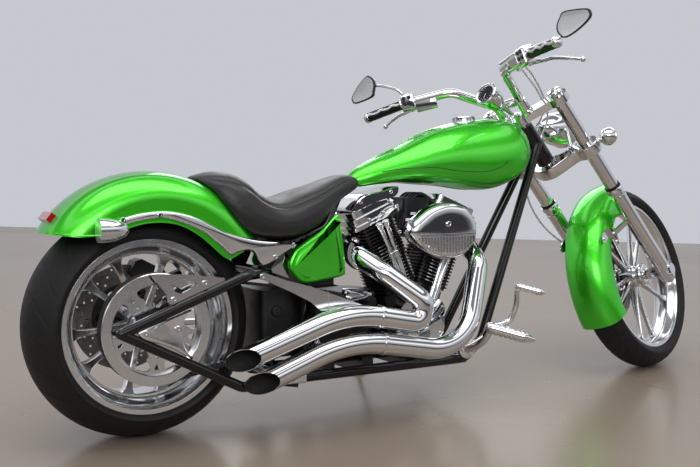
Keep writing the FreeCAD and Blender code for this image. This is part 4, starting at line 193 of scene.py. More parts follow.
# Shapes: each returns points and faces

def basis(axis):
    w = Vector(axis).normalized()
    u = w.orthogonal().normalized()
    return u, w.cross(u), w


def grid(rows, columns, wrap_rows=False, wrap_columns=True):
    """The four-cornered faces between rows of points."""
    faces = []
    for i in range(rows if wrap_rows else rows - 1):
        for k in range(columns if wrap_columns else columns - 1):
            j, m = (i + 1) % rows, (k + 1) % columns
            faces.append((i * columns + k, i * columns + m, j * columns + m, j * columns + k))
    return faces


def end_caps(rows, columns):
    return [tuple(range(columns)), tuple((rows - 1) * columns + k for k in range(columns))]


def lathe(profile, origin=(0, 0, 0), axis=Y_AXIS, steps=48, closed=False):
    """Turns (radius, along) points about an axis."""
    u, v, w = basis(axis)
    origin = Vector(origin)
    points = []
    for i in range(steps):
        a = 2 * math.pi * i / steps
        out = u * math.cos(a) + v * math.sin(a)
        points += [origin + out * r + w * h for r, h in profile]
    return points, grid(steps, len(profile), wrap_rows=True, wrap_columns=closed)


def rounded(points, bends, steps=8):
    """A run of points with its corners turned into arcs of one radius or of a list of them."""
    points = [Vector(p) for p in points]
    bends = bends if isinstance(bends, (list, tuple)) else [bends] * len(points)
    line = [points[0]]
    for before, corner, after, bend in zip(points, points[1:], points[2:], bends):
        u = before - corner
        v = after - corner
        half = u.angle(v) / 2
        reach = min(bend / math.tan(half), 0.47 * min(u.length, v.length))
        radius = reach * math.tan(half)
        centre = corner + (u.normalized() + v.normalized()).normalized() * (radius / math.sin(half))
        start = corner + u.normalized() * reach - centre
        end = corner + v.normalized() * reach - centre
        for i in range(steps + 1):
            line.append(centre + start.slerp(end, i / steps).normalized() * radius)
    line.append(points[-1])
    return line


def sweep(line, radius, sides=16):
    """A round tube along a line; the radius may be a list, one for each point."""
    line = [Vector(p) for p in line]
    radii = radius if isinstance(radius, (list, tuple)) else [radius] * len(line)
    tangent = (line[1] - line[0]).normalized()
    u, v, _ = basis(tangent)
    points = []
    for i, place in enumerate(line):
        ahead = line[min(i + 1, len(line) - 1)] - line[max(i - 1, 0)]
        turn = tangent.rotation_difference(ahead.normalized())
        u, v, tangent = turn @ u, turn @ v, ahead.normalized()
        points += [place + (u * math.cos(a) + v * math.sin(a)) * radii[i]
                   for a in (2 * math.pi * k / sides for k in range(sides))]
    return points, grid(len(line), sides) + end_caps(len(line), sides)


def smooth_loop(points, steps, closed=True):
    """A curve through points, each stretch divided into steps."""
    points = [Vector(p) for p in points]
    n = len(points)
    line = []
    for i in range(n if closed else n - 1):
        if closed:
            a, b, c, d = (points[(i + k) % n] for k in (-1, 0, 1, 2))
        else:
            a, b, c, d = (points[min(max(i + k, 0), n - 1)] for k in (-1, 0, 1, 2))
        for j in range(steps):
            t = j / steps
            line.append(0.5 * ((2 * b) + (c - a) * t + (2 * a - 5 * b + 4 * c - d) * t * t
                               + (3 * b - 3 * c + d - a) * t ** 3))
    if not closed:
        line.append(points[-1])
    return line


def corner_loop(half_x, half_y, corner, steps):
    """The (x, y) points of a rectangle with rounded corners."""
    loop = []
    for sx, sy, start in ((1, 1, 0), (-1, 1, 90), (-1, -1, 180), (1, -1, 270)):
        for i in range(steps + 1):
            a = math.radians(start + 90 * i / steps)
            loop.append((sx * (half_x - corner) + corner * math.cos(a),
                         sy * (half_y - corner) + corner * math.sin(a)))
    return loop


def curve(points, steps):
    """An open curve through points."""
    return smooth_loop(points, steps, closed=False)


def polar(radius, angle, x=0.0, z=0.0):
    return x + radius * math.cos(angle), z + radius * math.sin(angle)


def smooth_flat(points, steps):
    """A smooth (x, z) loop through (x, z) points."""
    return [(p.x, p.y) for p in smooth_loop([(x, z, 0) for x, z in points], steps)]


def collar(inner, outer, length, edge=1):
    """The (radius, along) points of a ring with softened outer rims."""
    return [(inner, 0), (outer - edge, 0), (outer, edge), (outer, length - edge), (outer - edge, length),
            (inner, length)]


def ring(radius, steps=24, x=0.0, z=0.0, wave=0.0, lobes=3, phase=0.0):
    """A circle of (x, z) points, or with a wave, a lobed one."""
    loop = []
    for i in range(steps):
        a = 2 * math.pi * i / steps
        loop.append(polar(radius * (1 + wave * math.cos(lobes * (a - phase))), a, x, z))
    return loop


def plate(loops, low, high):
    """A flat piece across y: the first (x, z) loop is its outline, the others its holes."""
    flat = [p for loop in loops for p in loop]
    n = len(flat)
    cap = tessellate_polygon([[Vector((x, z, 0)) for x, z in loop] for loop in loops])
    points = [Vector((x, low, z)) for x, z in flat] + [Vector((x, high, z)) for x, z in flat]
    faces = [tuple(t) for t in cap] + [tuple(n + i for i in reversed(t)) for t in cap]
    start = 0
    for loop in loops:
        for i in range(len(loop)):
            j = (i + 1) % len(loop)
            faces.append((start + i, start + j, n + start + j, n + start + i))
        start += len(loop)
    return points, faces


def stack(rings, caps=True):
    """Joins closed rings of equal counts into a skin."""
    rows, columns = len(rings), len(rings[0])
    points = [Vector(p) for loop in rings for p in loop]
    return points, grid(rows, columns) + (end_caps(rows, columns) if caps else [])


def inset(loop, depth):
    """An (x, z) loop moved inward by a depth, by its corners' normals."""
    n = len(loop)
    area = sum(loop[i][0] * loop[(i + 1) % n][1] - loop[(i + 1) % n][0] * loop[i][1] for i in range(n))
    sign = 1 if area > 0 else -1
    moved = []
    for i in range(n):
        a, c = Vector(loop[i - 1][:2]), Vector(loop[(i + 1) % n][:2])
        along = (c - a).normalized()
        moved.append((loop[i][0] - along.y * depth * sign, loop[i][1] + along.x * depth * sign))
    return moved


def pillow(loop, levels):
    """A side piece built up over its outline: (inset, y) levels from its back to its face."""
    rings = []
    for depth, y in levels:
        rings.append([(x, y, z) for x, z in inset(loop, depth)])
    return stack(rings)


def scaled(loop, middle, levels):
    """A side piece whose outline shrinks toward its middle: (share, y) levels."""
    cx, cz = middle
    rings = []
    for share, y in levels:
        rings.append([Vector((cx + (x - cx) * share, y, cz + (z - cz) * share)) for x, z in loop])
    return stack(rings)


def slab(half_x, half_y, corner, low, high, steps=4):
    """A block about z with rounded upright corners."""
    loop = corner_loop(half_x, half_y, corner, steps)
    return stack([[(x, y, low) for x, y in loop], [(x, y, high) for x, y in loop]])


def screw(at, axis, radius, height):
    """A socket-head screw standing on a face."""
    socket = height * 0.4
    profile = [(0, socket), (radius * 0.5, socket), (radius * 0.55, height), (radius * 0.88, height),
               (radius, height * 0.8), (radius, -1.0)]
    return lathe(profile, at, axis, 20)


def rod(start, end, radius, steps=32):
    """A round bar with softened ends."""
    start, end = Vector(start), Vector(end)
    length = (end - start).length
    edge = min(1.5, length * 0.3, radius * 0.5)
    return lathe(collar(0, radius, length, edge), start, end - start, steps)


def ball(at, radius):
    profile = []
    for i in range(13):
        a = math.radians(15 * i - 90)
        profile.append((max(radius * math.cos(a), 0), radius * math.sin(a)))
    return lathe(profile, at, Z_AXIS, 32)


def beam(start, end, half, low, high):
    """A flat bar between two (x, y) places, upright from low to high."""
    a, b = Vector((*start, 0)), Vector((*end, 0))
    across = Z_AXIS.cross(b - a).normalized() * half
    loop = [a + across, b + across, b - across, a - across]
    return stack([[p + Z_AXIS * low for p in loop], [p + Z_AXIS * high for p in loop]])


def new_object(name, data):
    obj = bpy.data.objects.new(name, data)
    bpy.context.scene.collection.objects.link(obj)
    return obj


def surface_of(obj):
    """The object's faces, for laying trim on them."""
    return BVHTree.FromObject(obj, bpy.context.evaluated_depsgraph_get())


def touch(tree, start, heading, reach=9.0):
    """Where a line from a place meets a surface, all in the bike's frame, or None."""
    hit = tree.ray_cast(ROOT @ Vector(start), (ROOT.to_3x3() @ Vector(heading)).normalized(), reach)
    return ROOT_BACK @ hit[0] if hit[0] is not None else None


def laid(tree, places, heading):
    """The places' marks on a surface, seen along a heading."""
    marks = [touch(tree, place, heading) for place in places]
    return [mark for mark in marks if mark is not None]


class Piece:
    """Gathers shapes of one frame for one object."""

    def __init__(self, place):
        self.place = place
        self.points = []
        self.faces = []
        self.tints = []

    def add(self, shape, tint=0, turn=None):
        points, faces = shape
        base = len(self.points)
        self.points += [turn @ p for p in points] if turn is not None else [Vector(p) for p in points]
        self.faces += [tuple(i + base for i in face) for face in faces]
        self.tints += [tint] * len(faces)
        return self

    def screw_ring(self, centre, reach, count, start, axis, radius, height, tint=0):
        """Screws spaced round a circle across y."""
        for i in range(count):
            x, z = polar(reach, 2 * math.pi * (i + start) / count)
            self.add(screw(Vector(centre) + Vector((x, 0, z)), axis, radius, height), tint)
        return self

    def screws(self, places, axis, radius, height, tint=0, turn=None):
        for place in places:
            self.add(screw(place, axis, radius, height), tint, turn)
        return self

    def mirror(self):
        """Adds the other side's copy, across y."""
        base = len(self.points)
        self.points += [Vector((p.x, -p.y, p.z)) for p in self.points]
        self.tints += list(self.tints)
        self.faces += [tuple(base + i for i in reversed(face)) for face in self.faces]
        return self

    def make(self, name, body, slot, materials, replaces=(), bevel=0.0, sharp=32.0, segments=2):
        mesh = bpy.data.meshes.new(name)
        mesh.from_pydata([self.place @ p for p in self.points], [], self.faces)
        for material in materials:
            mesh.materials.append(material)
        mesh.polygons.foreach_set("material_index", self.tints)
        work = bmesh.new()
        work.from_mesh(mesh)
        bmesh.ops.remove_doubles(work, verts=work.verts, dist=0.000002)
        bmesh.ops.dissolve_degenerate(work, edges=work.edges, dist=0.000001)
        bmesh.ops.recalc_face_normals(work, faces=work.faces)
        work.to_mesh(mesh)
        work.free()
        mesh.shade_smooth()
        mesh.set_sharp_from_angle(angle=math.radians(sharp))
        obj = new_object(name, mesh)
        if bevel:
            edge = obj.modifiers.new("edges", "BEVEL")
            edge.width = bevel * MM
            edge.segments = segments
            edge.angle_limit = math.radians(sharp)
            edge.harden_normals = True
        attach(obj, body)
        if replaces:
            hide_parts(*replaces)


# Wheels

TREAD_WIDTH_SHARE = 0.94


def tyre_piece(name, place, body, node, radius, width, crown, lip, rim_width, tread):
    """A tyre's skin: a crowned tread with its grooves pressed in, smooth walls and beads."""
    edge = math.asin(width / 2 * TREAD_WIDTH_SHARE / crown)
    across = 60
    around = 720
    shoulder_y, shoulder_r = crown * math.sin(edge), radius - crown + crown * math.cos(edge)
    half = rim_width / 2
    wall = [(shoulder_r, shoulder_y), ((shoulder_r + lip) / 2 + 7, width / 2), (lip + 4, half + 6),
            (lip + 0.4, half + 0.6)]
    wall = [(p.x, p.y) for p in curve([(r, y, 0) for r, y in wall], 4)][1:] + [(lip + 0.4, half - 8)]
    profile = [(r, -y) for r, y in reversed(wall)]
    first = len(profile)
    for i in range(across + 1):
        a = edge * (2 * i / across - 1)
        profile.append((radius - crown + crown * math.cos(a), crown * math.sin(a)))
    profile += wall
    points, faces = lathe(profile, steps=around)
    count = len(profile)
    for i in range(around):
        angle = 2 * math.pi * i / around
        for k in range(across + 1):
            depth = tread(angle, 2 * k / across - 1)
            if depth:
                p = points[i * count + first + k]
                inward = Vector((p.x, 0, p.z)).normalized()
                points[i * count + first + k] = p - inward * depth
    Piece(place).add((points, faces)).make(name, body, "tyre_rubber", [RUBBER], [node], sharp=50)


def groove(distance, half_width, depth):
    """Depth of a groove's section at a distance from its middle."""
    share = 1 - abs(distance) / half_width
    return depth * min(1.0, share * 2.2) if share > 0 else 0.0


def rear_tread(angle, share):
    """Long sipes that swing back from near the middle to the shoulders."""
    count = 22
    inner_share, outer_share = 0.1, 0.93
    reach = abs(share)
    if reach < inner_share or reach > outer_share:
        return 0.0
    offset = 0.5 if share < 0 else 0.0
    swing = 1.25 * reach ** 1.6
    position = (angle * count / (2 * math.pi) + swing + offset) % 1.0 - 0.5
    return groove(position, 0.035, 2.6 * min(1, (reach - inner_share) * 8, (outer_share - reach) * 10))


def front_tread(angle, share):
    """A lattice: slanted bars that cross into blocks, and two rings."""
    count = 44
    depth = 2.4
    reach = abs(share)
    if reach > 0.9:
        return 0.0
    sign = 1 if share > 0 else -1
    slant = (angle * count / (2 * math.pi) + sign * 1.1 * reach) % 1.0 - 0.5
    bars = groove(slant, 0.09, depth) if reach > 0.12 else 0.0
    other = (angle * count / (4 * math.pi) - sign * 1.2 * reach + 0.3) % 1.0 - 0.5
    crossing = groove(other, 0.05, depth) if 0.2 < reach < 0.75 else 0.0
    rings = groove(reach - 0.44, 0.035, depth)
    return max(bars, crossing, rings)


tyre_piece("rear_tyre_tread", REAR, "rear_wheel", "rear_tyre",
           radius=327.6, width=250.0, crown=138.0, lip=246.0, rim_width=226.0, tread=rear_tread)
tyre_piece("front_tyre_tread", FRONT, "front_wheel", "front_tyre",
           radius=345.6, width=130.0, crown=70.0, lip=278.0, rim_width=100.0, tread=front_tread)


def both_sides(side):
    """One side's (radius, along) points, then their mirror."""
    return side + [(r, -y) for r, y in reversed(side)]


def spoke_pairs(piece, sections, phase, lean, count=5):
    """Pairs of blades round a hub, each blade swung a little to its own side."""
    for i in range(count):
        turn = Matrix.Rotation(phase + 2 * math.pi * i / count, 4, "Y")
        for swing in (-lean, lean):
            piece.add(stack(sections), turn=turn @ Matrix.Rotation(swing, 4, "Y"))


def rear_rim_piece():
    """A polished dish each side with a bright flat lip, an inner step and ten flared blades."""
    half = 113.0
    side = [(246, half - 0.5), (245.5, half), (232.5, half), (230.5, half - 2), (229.5, half - 7),
            (227.5, half - 9), (224, half - 14), (219.5, half - 30), (213, half - 48), (207.5, half - 58),
            (205.5, half - 60), (201.5, half - 60), (200.5, half - 62), (200.5, half - 78)]
    well = [(246, -107), (230, -106), (216, -60)]
    piece = Piece(REAR).add(lathe(both_sides(side) + both_sides(well), steps=180, closed=True))
    blade = []
    for radius, low, high, half_width in ((30, -44, -12, 15), (60, -44, -14, 11), (110, -44, -18, 8.5),
                                          (160, -45, -22, 9), (186, -48, -26, 13), (201.5, -50, -32, 22)):
        blade.append([(radius, low, 3 - half_width), (radius, low, half_width - 3),
                      (radius, low + 3, half_width), (radius, high, half_width), (radius, high, -half_width),
                      (radius, low + 3, -half_width)])
    spoke_pairs(piece, blade, math.radians(-55), 0.26)
    hub = [(13, -124), (36, -124), (40, -121), (42, -116), (42, -60), (48, -52), (48, -4), (42, 6), (42, 118),
           (38, 124), (13, 124)]
    piece.add(lathe(hub, steps=64, closed=True))
    piece.make("rear_rim_polished", "rear_wheel", "polished_alloy", [ALLOY], ["rear_rim"], bevel=1.2,
               sharp=28)


DRILL_RADIUS = 3.6


def drilled_disc(name, place, body, node, inner, outer, y, thickness, carrier, hub):
    """A ground steel ring, cross-drilled in slanted rows, on a darker carrier with bolts."""
    holes = []
    rows = 12
    for i in range(rows):
        for k, radius in enumerate((inner + 12, (inner + outer) / 2 + 2, outer - 10)):
            a = 2 * math.pi * (i + 0.24 * k) / rows
            holes.append(ring(DRILL_RADIUS, 8, *polar(radius, a)))
            if k == 1:
                holes.append(ring(DRILL_RADIUS, 8, *polar(radius, a + math.pi / rows)))
    piece = Piece(place)
    piece.add(plate([ring(outer, 96), ring(inner, 72)] + holes, y, y + thickness))
    windows = [ring(carrier * 0.16, 12, *polar(carrier * 0.72, 2 * math.pi * i / 6)) for i in range(6)]
    spider = [ring(inner + 3, 60), ring(hub, 30)] + windows
    piece.add(plate(spider, y + thickness * 0.2, y + thickness * 1.1), 1)
    piece.screw_ring((0, y + thickness, 0), reach=inner * 0.86, count=6, start=0.5, axis=Y_AXIS, radius=5,
                     height=3, tint=2)
    piece.make(name, body, "disc_steel", [DISC, SATIN_BLACK, CHROME], [node], bevel=0.5)


rear_rim_piece()
drilled_disc("rear_disc_drilled", REAR, "rear_wheel", "rear_disc",
             inner=100.0, outer=157.0, y=124.0, thickness=5.0, carrier=100.0, hub=20.0)


PULLEY_WINDOW_SHARES = ((0.95, -0.6), (1.0, 0.0), (0.95, 0.6), (0.74, 0.68), (0.56, 0.5), (0.34, 0.5),
                        (0.16, 0.2), (0.36, 0.0), (0.16, -0.2), (0.34, -0.5), (0.56, -0.5), (0.74, -0.68))
PULLEY_LOBES = 5
PULLEY_PHASE_SHARE = 20 / 72
BELT_NEAR, BELT_FAR = -170, -132


def pulley_piece():
    """The toothed ring with a flat polished face, and a web of lobed and small three-cornered windows."""
    teeth = 66
    valley, tip = 146.5, 149.5
    outline = []
    for i in range(teeth):
        for share, radius in ((0.0, valley), (0.28, valley), (0.4, tip), (0.88, tip)):
            outline.append(polar(radius, 2 * math.pi * (i + share) / teeth))
    piece = Piece(REAR)
    piece.add(plate([outline, ring(127, 96)], BELT_NEAR - 0.5, BELT_FAR))
    rim = [(126.5, -170), (126.5, -173), (128, -174.3), (154, -174.3), (156, -172.8), (156, -171),
           (127, -170.4)]
    piece.add(lathe(rim, steps=140, closed=True))
    windows = []
    step = 2 * math.pi / PULLEY_LOBES
    for i in range(PULLEY_LOBES):
        middle = step * (i + PULLEY_PHASE_SHARE)
        loop = [polar(46 + out * 76, middle + swing * step / 2) for out, swing in PULLEY_WINDOW_SHARES]
        windows.append(smooth_flat(loop, 5))
        between = middle + step / 2
        windows.append(ring(8.5, 18, *polar(107, between), 0.2, 3, between + math.pi))
        windows.append(ring(5, 14, *polar(78, between)))
    piece.add(plate([ring(128, 96), ring(14, 30)] + windows, -157, -147))
    hub = [(14, -124.5), (42, -124.5), (42, -158), (38, -162), (20, -162), (14, -158)]
    piece.add(lathe(hub, steps=60, closed=True))
    piece.screw_ring((0, -160, 0), reach=35, count=PULLEY_LOBES, start=PULLEY_PHASE_SHARE, axis=-Y_AXIS,
                     radius=4.5, height=5, tint=1)
    piece.make("rear_pulley_cut", "rear_wheel", "polished_alloy", [ALLOY, CHROME], ["rear_pulley"], bevel=1.4)


pulley_piece()


def belt_piece():
    """The toothed belt round both pulleys."""
    big, small = 151.0, 59.0
    far = Vector((548, 0, 7))
    swing = math.acos((big - small) / far.length)
    heading = math.atan2(far.z, far.x)
    line = []
    for centre, radius, start, end, steps in (
            (Vector(), big, heading + swing, heading + 2 * math.pi - swing, 132),
            (far, small, heading - swing, heading + swing, 22)):
        for i in range(steps + 1):
            a = start + (end - start) * i / steps
            out = Vector((math.cos(a), 0, math.sin(a)))
            line.append((centre + out * radius, out))
    dense = []
    for i, (p, out) in enumerate(line):
        q, following = line[(i + 1) % len(line)]
        count = max(1, round((q - p).length / 3.6))
        dense += [(p.lerp(q, k / count), out.lerp(following, k / count).normalized()) for k in range(count)]
    total = sum((dense[i][0] - dense[i - 1][0]).length for i in range(len(dense)))
    teeth = round(total / 14.3)
    travelled = 0.0
    rings = []
    for i, (p, out) in enumerate(dense):
        travelled += (p - dense[i - 1][0]).length if i else 0
        inner = -3.4 if (travelled / total * teeth) % 1.0 < 0.5 else 0.0
        section = ((inner, BELT_NEAR), (4.6, BELT_NEAR), (4.6, BELT_FAR), (inner, BELT_FAR))
        rings.append([p + out * h + Y_AXIS * y for h, y in section])
    rings.append(rings[0])
    Piece(REAR).add(stack(rings, caps=False)).make(
        "belt_toothed", "root", "belt_rubber", [BELT_RUBBER], ["belt"], sharp=30)


belt_piece()


def front_rim_piece():
    """The narrow rim with five pairs of slim blades and a stout polished hub."""
    half = 50.0
    side = [(278, half - 0.5), (277.5, half), (268, half), (266.5, half - 2), (265, half - 7),
            (261, half - 10), (256, half - 18), (249, half - 28), (247.5, half - 36)]
    well = [(278, -44), (265.5, -43), (253, -20)]
    piece = Piece(FRONT).add(lathe(both_sides(side) + both_sides(well), steps=180, closed=True))
    blade = []
    for radius, y, z in ((26, 20, 10), (60, 15, 6), (140, 10, 5), (220, 9, 6), (240, 12, 9), (249, 16, 15)):
        blade.append([(radius, -y, 2 - z), (radius, -y, z - 2), (radius, 4 - y, z), (radius, y - 4, z),
                      (radius, y, z - 2), (radius, y, 2 - z), (radius, y - 4, -z), (radius, 4 - y, -z)])
    spoke_pairs(piece, blade, math.radians(-20), 0.2)
    hub = [(13, -62), (34, -62), (40, -59), (43.5, -53), (43.5, -44), (37, -38), (36, -34), (43, -27),
           (43, 27), (36, 34), (36, 46), (43.5, 52), (43.5, 62), (13, 62)]
    piece.add(lathe(hub, steps=60, closed=True))
    piece.make("front_rim_polished", "front_wheel", "polished_alloy", [ALLOY], ["front_rim"], bevel=1.0,
               sharp=28)


front_rim_piece()
drilled_disc("front_disc_drilled", FRONT, "front_wheel", "front_disc",
             inner=112.0, outer=145.5, y=84.0, thickness=5.0, carrier=112.0, hub=14.0)


# Engine

def fine_slab(half_x, half_y, corner, low, high, pitch=9.0):
    """A rounded block whose straight sides are divided, so that its rim can be tinted in dashes."""
    loop = [Vector((x, y, 0)) for x, y in corner_loop(half_x, half_y, corner, 4)]
    dense = []
    for i, p in enumerate(loop):
        q = loop[(i + 1) % len(loop)]
        count = max(1, round((q - p).length / pitch))
        dense += [p.lerp(q, k / count) for k in range(count)]
    return stack([[(p.x, p.y, low) for p in dense], [(p.x, p.y, high) for p in dense]])


CRANK_CENTRE = (920, 0, 240)
CYLINDER_LEAN = math.radians(22.5)
DECK, HEAD_TOP, ROCKER_BASE = 146.3, 388.0, 388.3
FIN_HALF_X, FIN_HALF_Y, FIN_CORNER = 67.5, 73.5, 22
BRIGHT_HALF = 34
CAM_COVER_X, CAM_COVER_Z = 955, 306
CAM_CHEST_X, CAM_CHEST_Z = 908, 262


def cylinder_frame(side):
    return Matrix.Translation(CRANK_CENTRE) @ Matrix.Rotation(side * CYLINDER_LEAN, 4, "Y")


def cylinders_piece():
    """Finned barrels and heads; the fins' rims are machined bright along their middles."""
    piece = Piece(ROOT)
    for side in (1, -1):
        turn = cylinder_frame(side)
        piece.add(slab(52, 52, FIN_CORNER, DECK, HEAD_TOP, 6), turn=turn)
        for i in range(14):
            low = DECK + 11.3 * (i + 1) + 3
            shape = fine_slab(FIN_HALF_X, FIN_HALF_Y, FIN_CORNER, low, low + 3.2)
            start = len(piece.faces)
            piece.add(shape, turn=turn)
            for k, face in enumerate(shape[1]):
                middle = sum((Vector(shape[0][j]) for j in face), Vector()) / len(face)
                if len(face) == 4 and abs(middle.x) < BRIGHT_HALF and abs(middle.y) > FIN_HALF_Y - 0.5:
                    piece.tints[start + k] = 1
        for i in range(6):
            low = 318 + 11.5 * i
            piece.add(fine_slab(FIN_HALF_X, FIN_HALF_Y, FIN_CORNER, low, low + 3.6), turn=turn)
        for x, y in ((-50, -58), (50, -58), (-50, 58), (50, 58)):
            stud = [(0, HEAD_TOP), (7, HEAD_TOP), (7, 150), (0, 150)]
            piece.add(lathe(stud, (x, y, 0), Z_AXIS, 12), turn=turn)
    piece.make("cylinders_finned", "root", "black_metal", [SATIN_BLACK, BRIGHT], ["cylinders"], sharp=30)


def rocker_piece():
    """Three-step chrome rocker boxes with their screws."""
    piece = Piece(ROOT)
    for side in (1, -1):
        turn = cylinder_frame(side)
        low = ROCKER_BASE
        for half_x, half_y, height in ((95, 74, 14), (88, 67, 22), (80, 59, 22)):
            piece.add(slab(half_x - 0.3, half_y - 0.3, 20, low, low + height - 0.1, 6), turn=turn)
            low += height
        lower = [(x, y, ROCKER_BASE + 14) for x in (-84, -28, 28, 84) for y in (-70.5, 70.5)]
        upper = [(x, y, ROCKER_BASE + 58) for x in (-66, 0, 66) for y in (-46, 46)]
        piece.screws(lower, Z_AXIS, radius=4.5, height=8, turn=turn)
        piece.screws(upper, Z_AXIS, radius=5, height=5, turn=turn)
    piece.make("rocker_boxes_bolted", "root", "chrome", [CHROME], ["rocker_boxes"], bevel=2.2, segments=3)


cylinders_piece()
rocker_piece()


# Engine trim

def pushrod_rings():
    """Collars on the pushrod tubes and screws on the cam covers."""
    piece = Piece(ROOT)
    for side in (1, -1):
        turn = cylinder_frame(side)
        for spread in (-13, 13):
            foot, head = Vector((spread / 2, -92, 136)), Vector((spread, -92, 387.7))
            for share, radius, length in ((0.0, 14, 12), (0.06, 12, 5), (0.5, 11, 22), (0.93, 12, 16)):
                shape = lathe(collar(9, radius, length), foot.lerp(head, share), head - foot, 24)
                piece.add(shape, turn=turn)
    piece.screw_ring((CAM_COVER_X, -124.3, CAM_COVER_Z), reach=29, count=5, start=0.3, axis=-Y_AXIS,
                     radius=3.6, height=3)
    piece.screw_ring((CAM_CHEST_X, -108, CAM_CHEST_Z), reach=85, count=8, start=0.5, axis=-Y_AXIS, radius=4.6,
                     height=4)
    piece.make("engine_screws", "root", "chrome", [CHROME])


EGG_SHARES = ((0, 0), (0.03, 0.24), (0.1, 0.46), (0.26, 0.79), (0.43, 0.96), (0.59, 1), (0.77, 0.9),
              (0.91, 0.62), (0.98, 0.3), (1, 0))
EGG_LEVEL_SHARES = (
    (0.93, -142.3), (0.985, -144), (1.0, -149), (1.0, -181), (0.985, -190), (0.94, -197.5), (0.86, -201.5),
    (0.76, -203.3), (0.6, -203.8), (0.4, -204), (0.2, -204), (0.05, -204))
EGG_START, EGG_LENGTH = 818, 252
EGG_Z, EGG_HALF = 567, 89
EGG_MIDDLE_X, EGG_MOUNT_X = 950, 905


def air_cleaner_shell():
    """An egg of chrome: smooth above, upright ribs below a level crease, and a screw at its middle."""
    upper = [(EGG_START + a * EGG_LENGTH, EGG_Z + b * EGG_HALF) for a, b in EGG_SHARES]
    lower = [(EGG_START + a * EGG_LENGTH, EGG_Z - b * EGG_HALF) for a, b in reversed(EGG_SHARES[1:-1])]
    loop = smooth_flat(upper + lower, 12)
    piece = Piece(ROOT).add(scaled(loop, (EGG_MIDDLE_X, EGG_Z), EGG_LEVEL_SHARES))
    high = 552
    for i in range(19):
        x = 842 + 11.6 * i
        inside = [z for px, z in loop if abs(px - x) < 6]
        if not inside:
            continue
        low = min(inside) + 14
        if high - low < 10:
            continue
        rings = []
        for half, y, start, end in ((3.6, -203, low + 4, high), (2.4, -207, low + 8, high - 2)):
            rings.append([(x - half, y, start), (x + half, y, start), (x + half, y, end), (x - half, y, end)])
        piece.add(stack(rings))
    piece.add(beam((846, -203), (1052, -203), 4.6, 556, 560))
    piece.add(screw((EGG_MIDDLE_X, -204, 590), -Y_AXIS, radius=9, height=5))
    piece.add(screw((806, -142, EGG_Z), -Y_AXIS, radius=6, height=3))
    for z, start, radius in ((520, -72, 16), (614, -72, 16), (EGG_Z, -60, 30)):
        piece.add(rod((EGG_MOUNT_X, start, z), (EGG_MOUNT_X, -143, z), radius))
    piece.make("air_cleaner_shell", "root", "chrome", [CHROME], ["air_cleaner"], bevel=0.8, sharp=35)


def gearbox_trim():
    """The teardrop cap, screws on the gearbox's side, and the lug block by the belt's cover."""
    piece = Piece(ROOT)
    nose = smooth_flat([(636, 394), (628, 387), (625, 372), (628, 357), (636, 350), (690, 356), (722, 365),
                        (728, 372), (722, 379), (690, 388)], 5)
    levels = ((1.0, -84.5), (1.0, -96), (0.96, -103), (0.85, -107), (0.6, -109), (0.2, -109.6))
    piece.add(scaled(nose, (660, 372), levels))
    places = ((540, 205), (540, 352), (640, 200), (716, 200), (600, 262))
    piece.screws([(x, -84.5, z) for x, z in places], -Y_AXIS, radius=6.5, height=6)
    block = [(383, 122), (479, 122), (479, 149), (383, 149)]
    piece.add(pillow(block, ((0, -112), (0, -128), (3, -131))))
    piece.screws([(x, -131, 135) for x in (398, 431, 464)], -Y_AXIS, radius=6, height=4)
    piece.make("gearbox_trim", "root", "chrome", [CHROME], bevel=0.8)


def between_cylinders():
    """The dark clutter between the rocker boxes, with the coil's bright plate and the crescent bracket."""
    piece = Piece(ROOT)
    piece.add(slab(52, 46, 14, 604, 672), turn=Matrix.Translation((938, 0, 0)))
    for y in (-34, -12, 12, 34):
        line = rounded([(884, y, 566), (896, y, 640), (946, y, 690), (1000, y, 660), (1016, y, 600)], 34)
        piece.add(sweep(line, 7.5, 12))
    piece.add(rod((905, -74, 567), (905, 40, 567), 27))
    piece.add(rod((560, -40, 470), (650, -40, 560), 24))
    coil = smooth_flat([(678, 639), (726, 680), (798, 696), (852, 709), (843, 678), (761, 656), (699, 631)],
                       5)
    piece.add(pillow(coil, ((0, 50), (0, -58), (2.5, -61.5))), 1)
    piece.screws([(x, -61.5, z) for x, z in ((712, 660), (826, 692))], -Y_AXIS, radius=6, height=4, tint=1)
    crescent = smooth_flat([(642, 538), (629, 513), (633, 483), (655, 459), (676, 451), (670, 463),
                            (654, 474), (645, 492), (645, 512), (656, 531)], 4)
    piece.add(pillow(crescent, ((0, -96), (0, -115), (1.6, -118.5))), 1)
    piece.add(rod((652, -60, 495), (652, -97, 495), 9), 1)
    piece.make("between_cylinders", "root", "black_metal", [SATIN_BLACK, CHROME], bevel=0.8)


def oil_tank_block():
    """The black tank that fills the triangle behind the gearbox."""
    piece = Piece(ROOT)
    piece.add(slab(84, 88, 20, 200, 404, 6), turn=Matrix.Translation((436, 0, 0)))
    piece.add(rod((400, -89, 340), (400, -96, 340), 16))
    bracket = [(428, 508), (360, 465), (435, 436), (420, 522)]
    piece.add(pillow(bracket, ((0, -104), (0, -110), (3, -113))), 1)
    piece.make("oil_tank_block", "root", "black_metal", [SATIN_BLACK, ALLOY], bevel=1.2)


pushrod_rings()
air_cleaner_shell()
gearbox_trim()
between_cylinders()
oil_tank_block()


# Exhausts

PIPE_RADIUS, PIPE_BORE = 33, 31
PIPE_BORE_DEPTH = 210.0
PIPE_SLASH = 84
PIPE_Y = -248


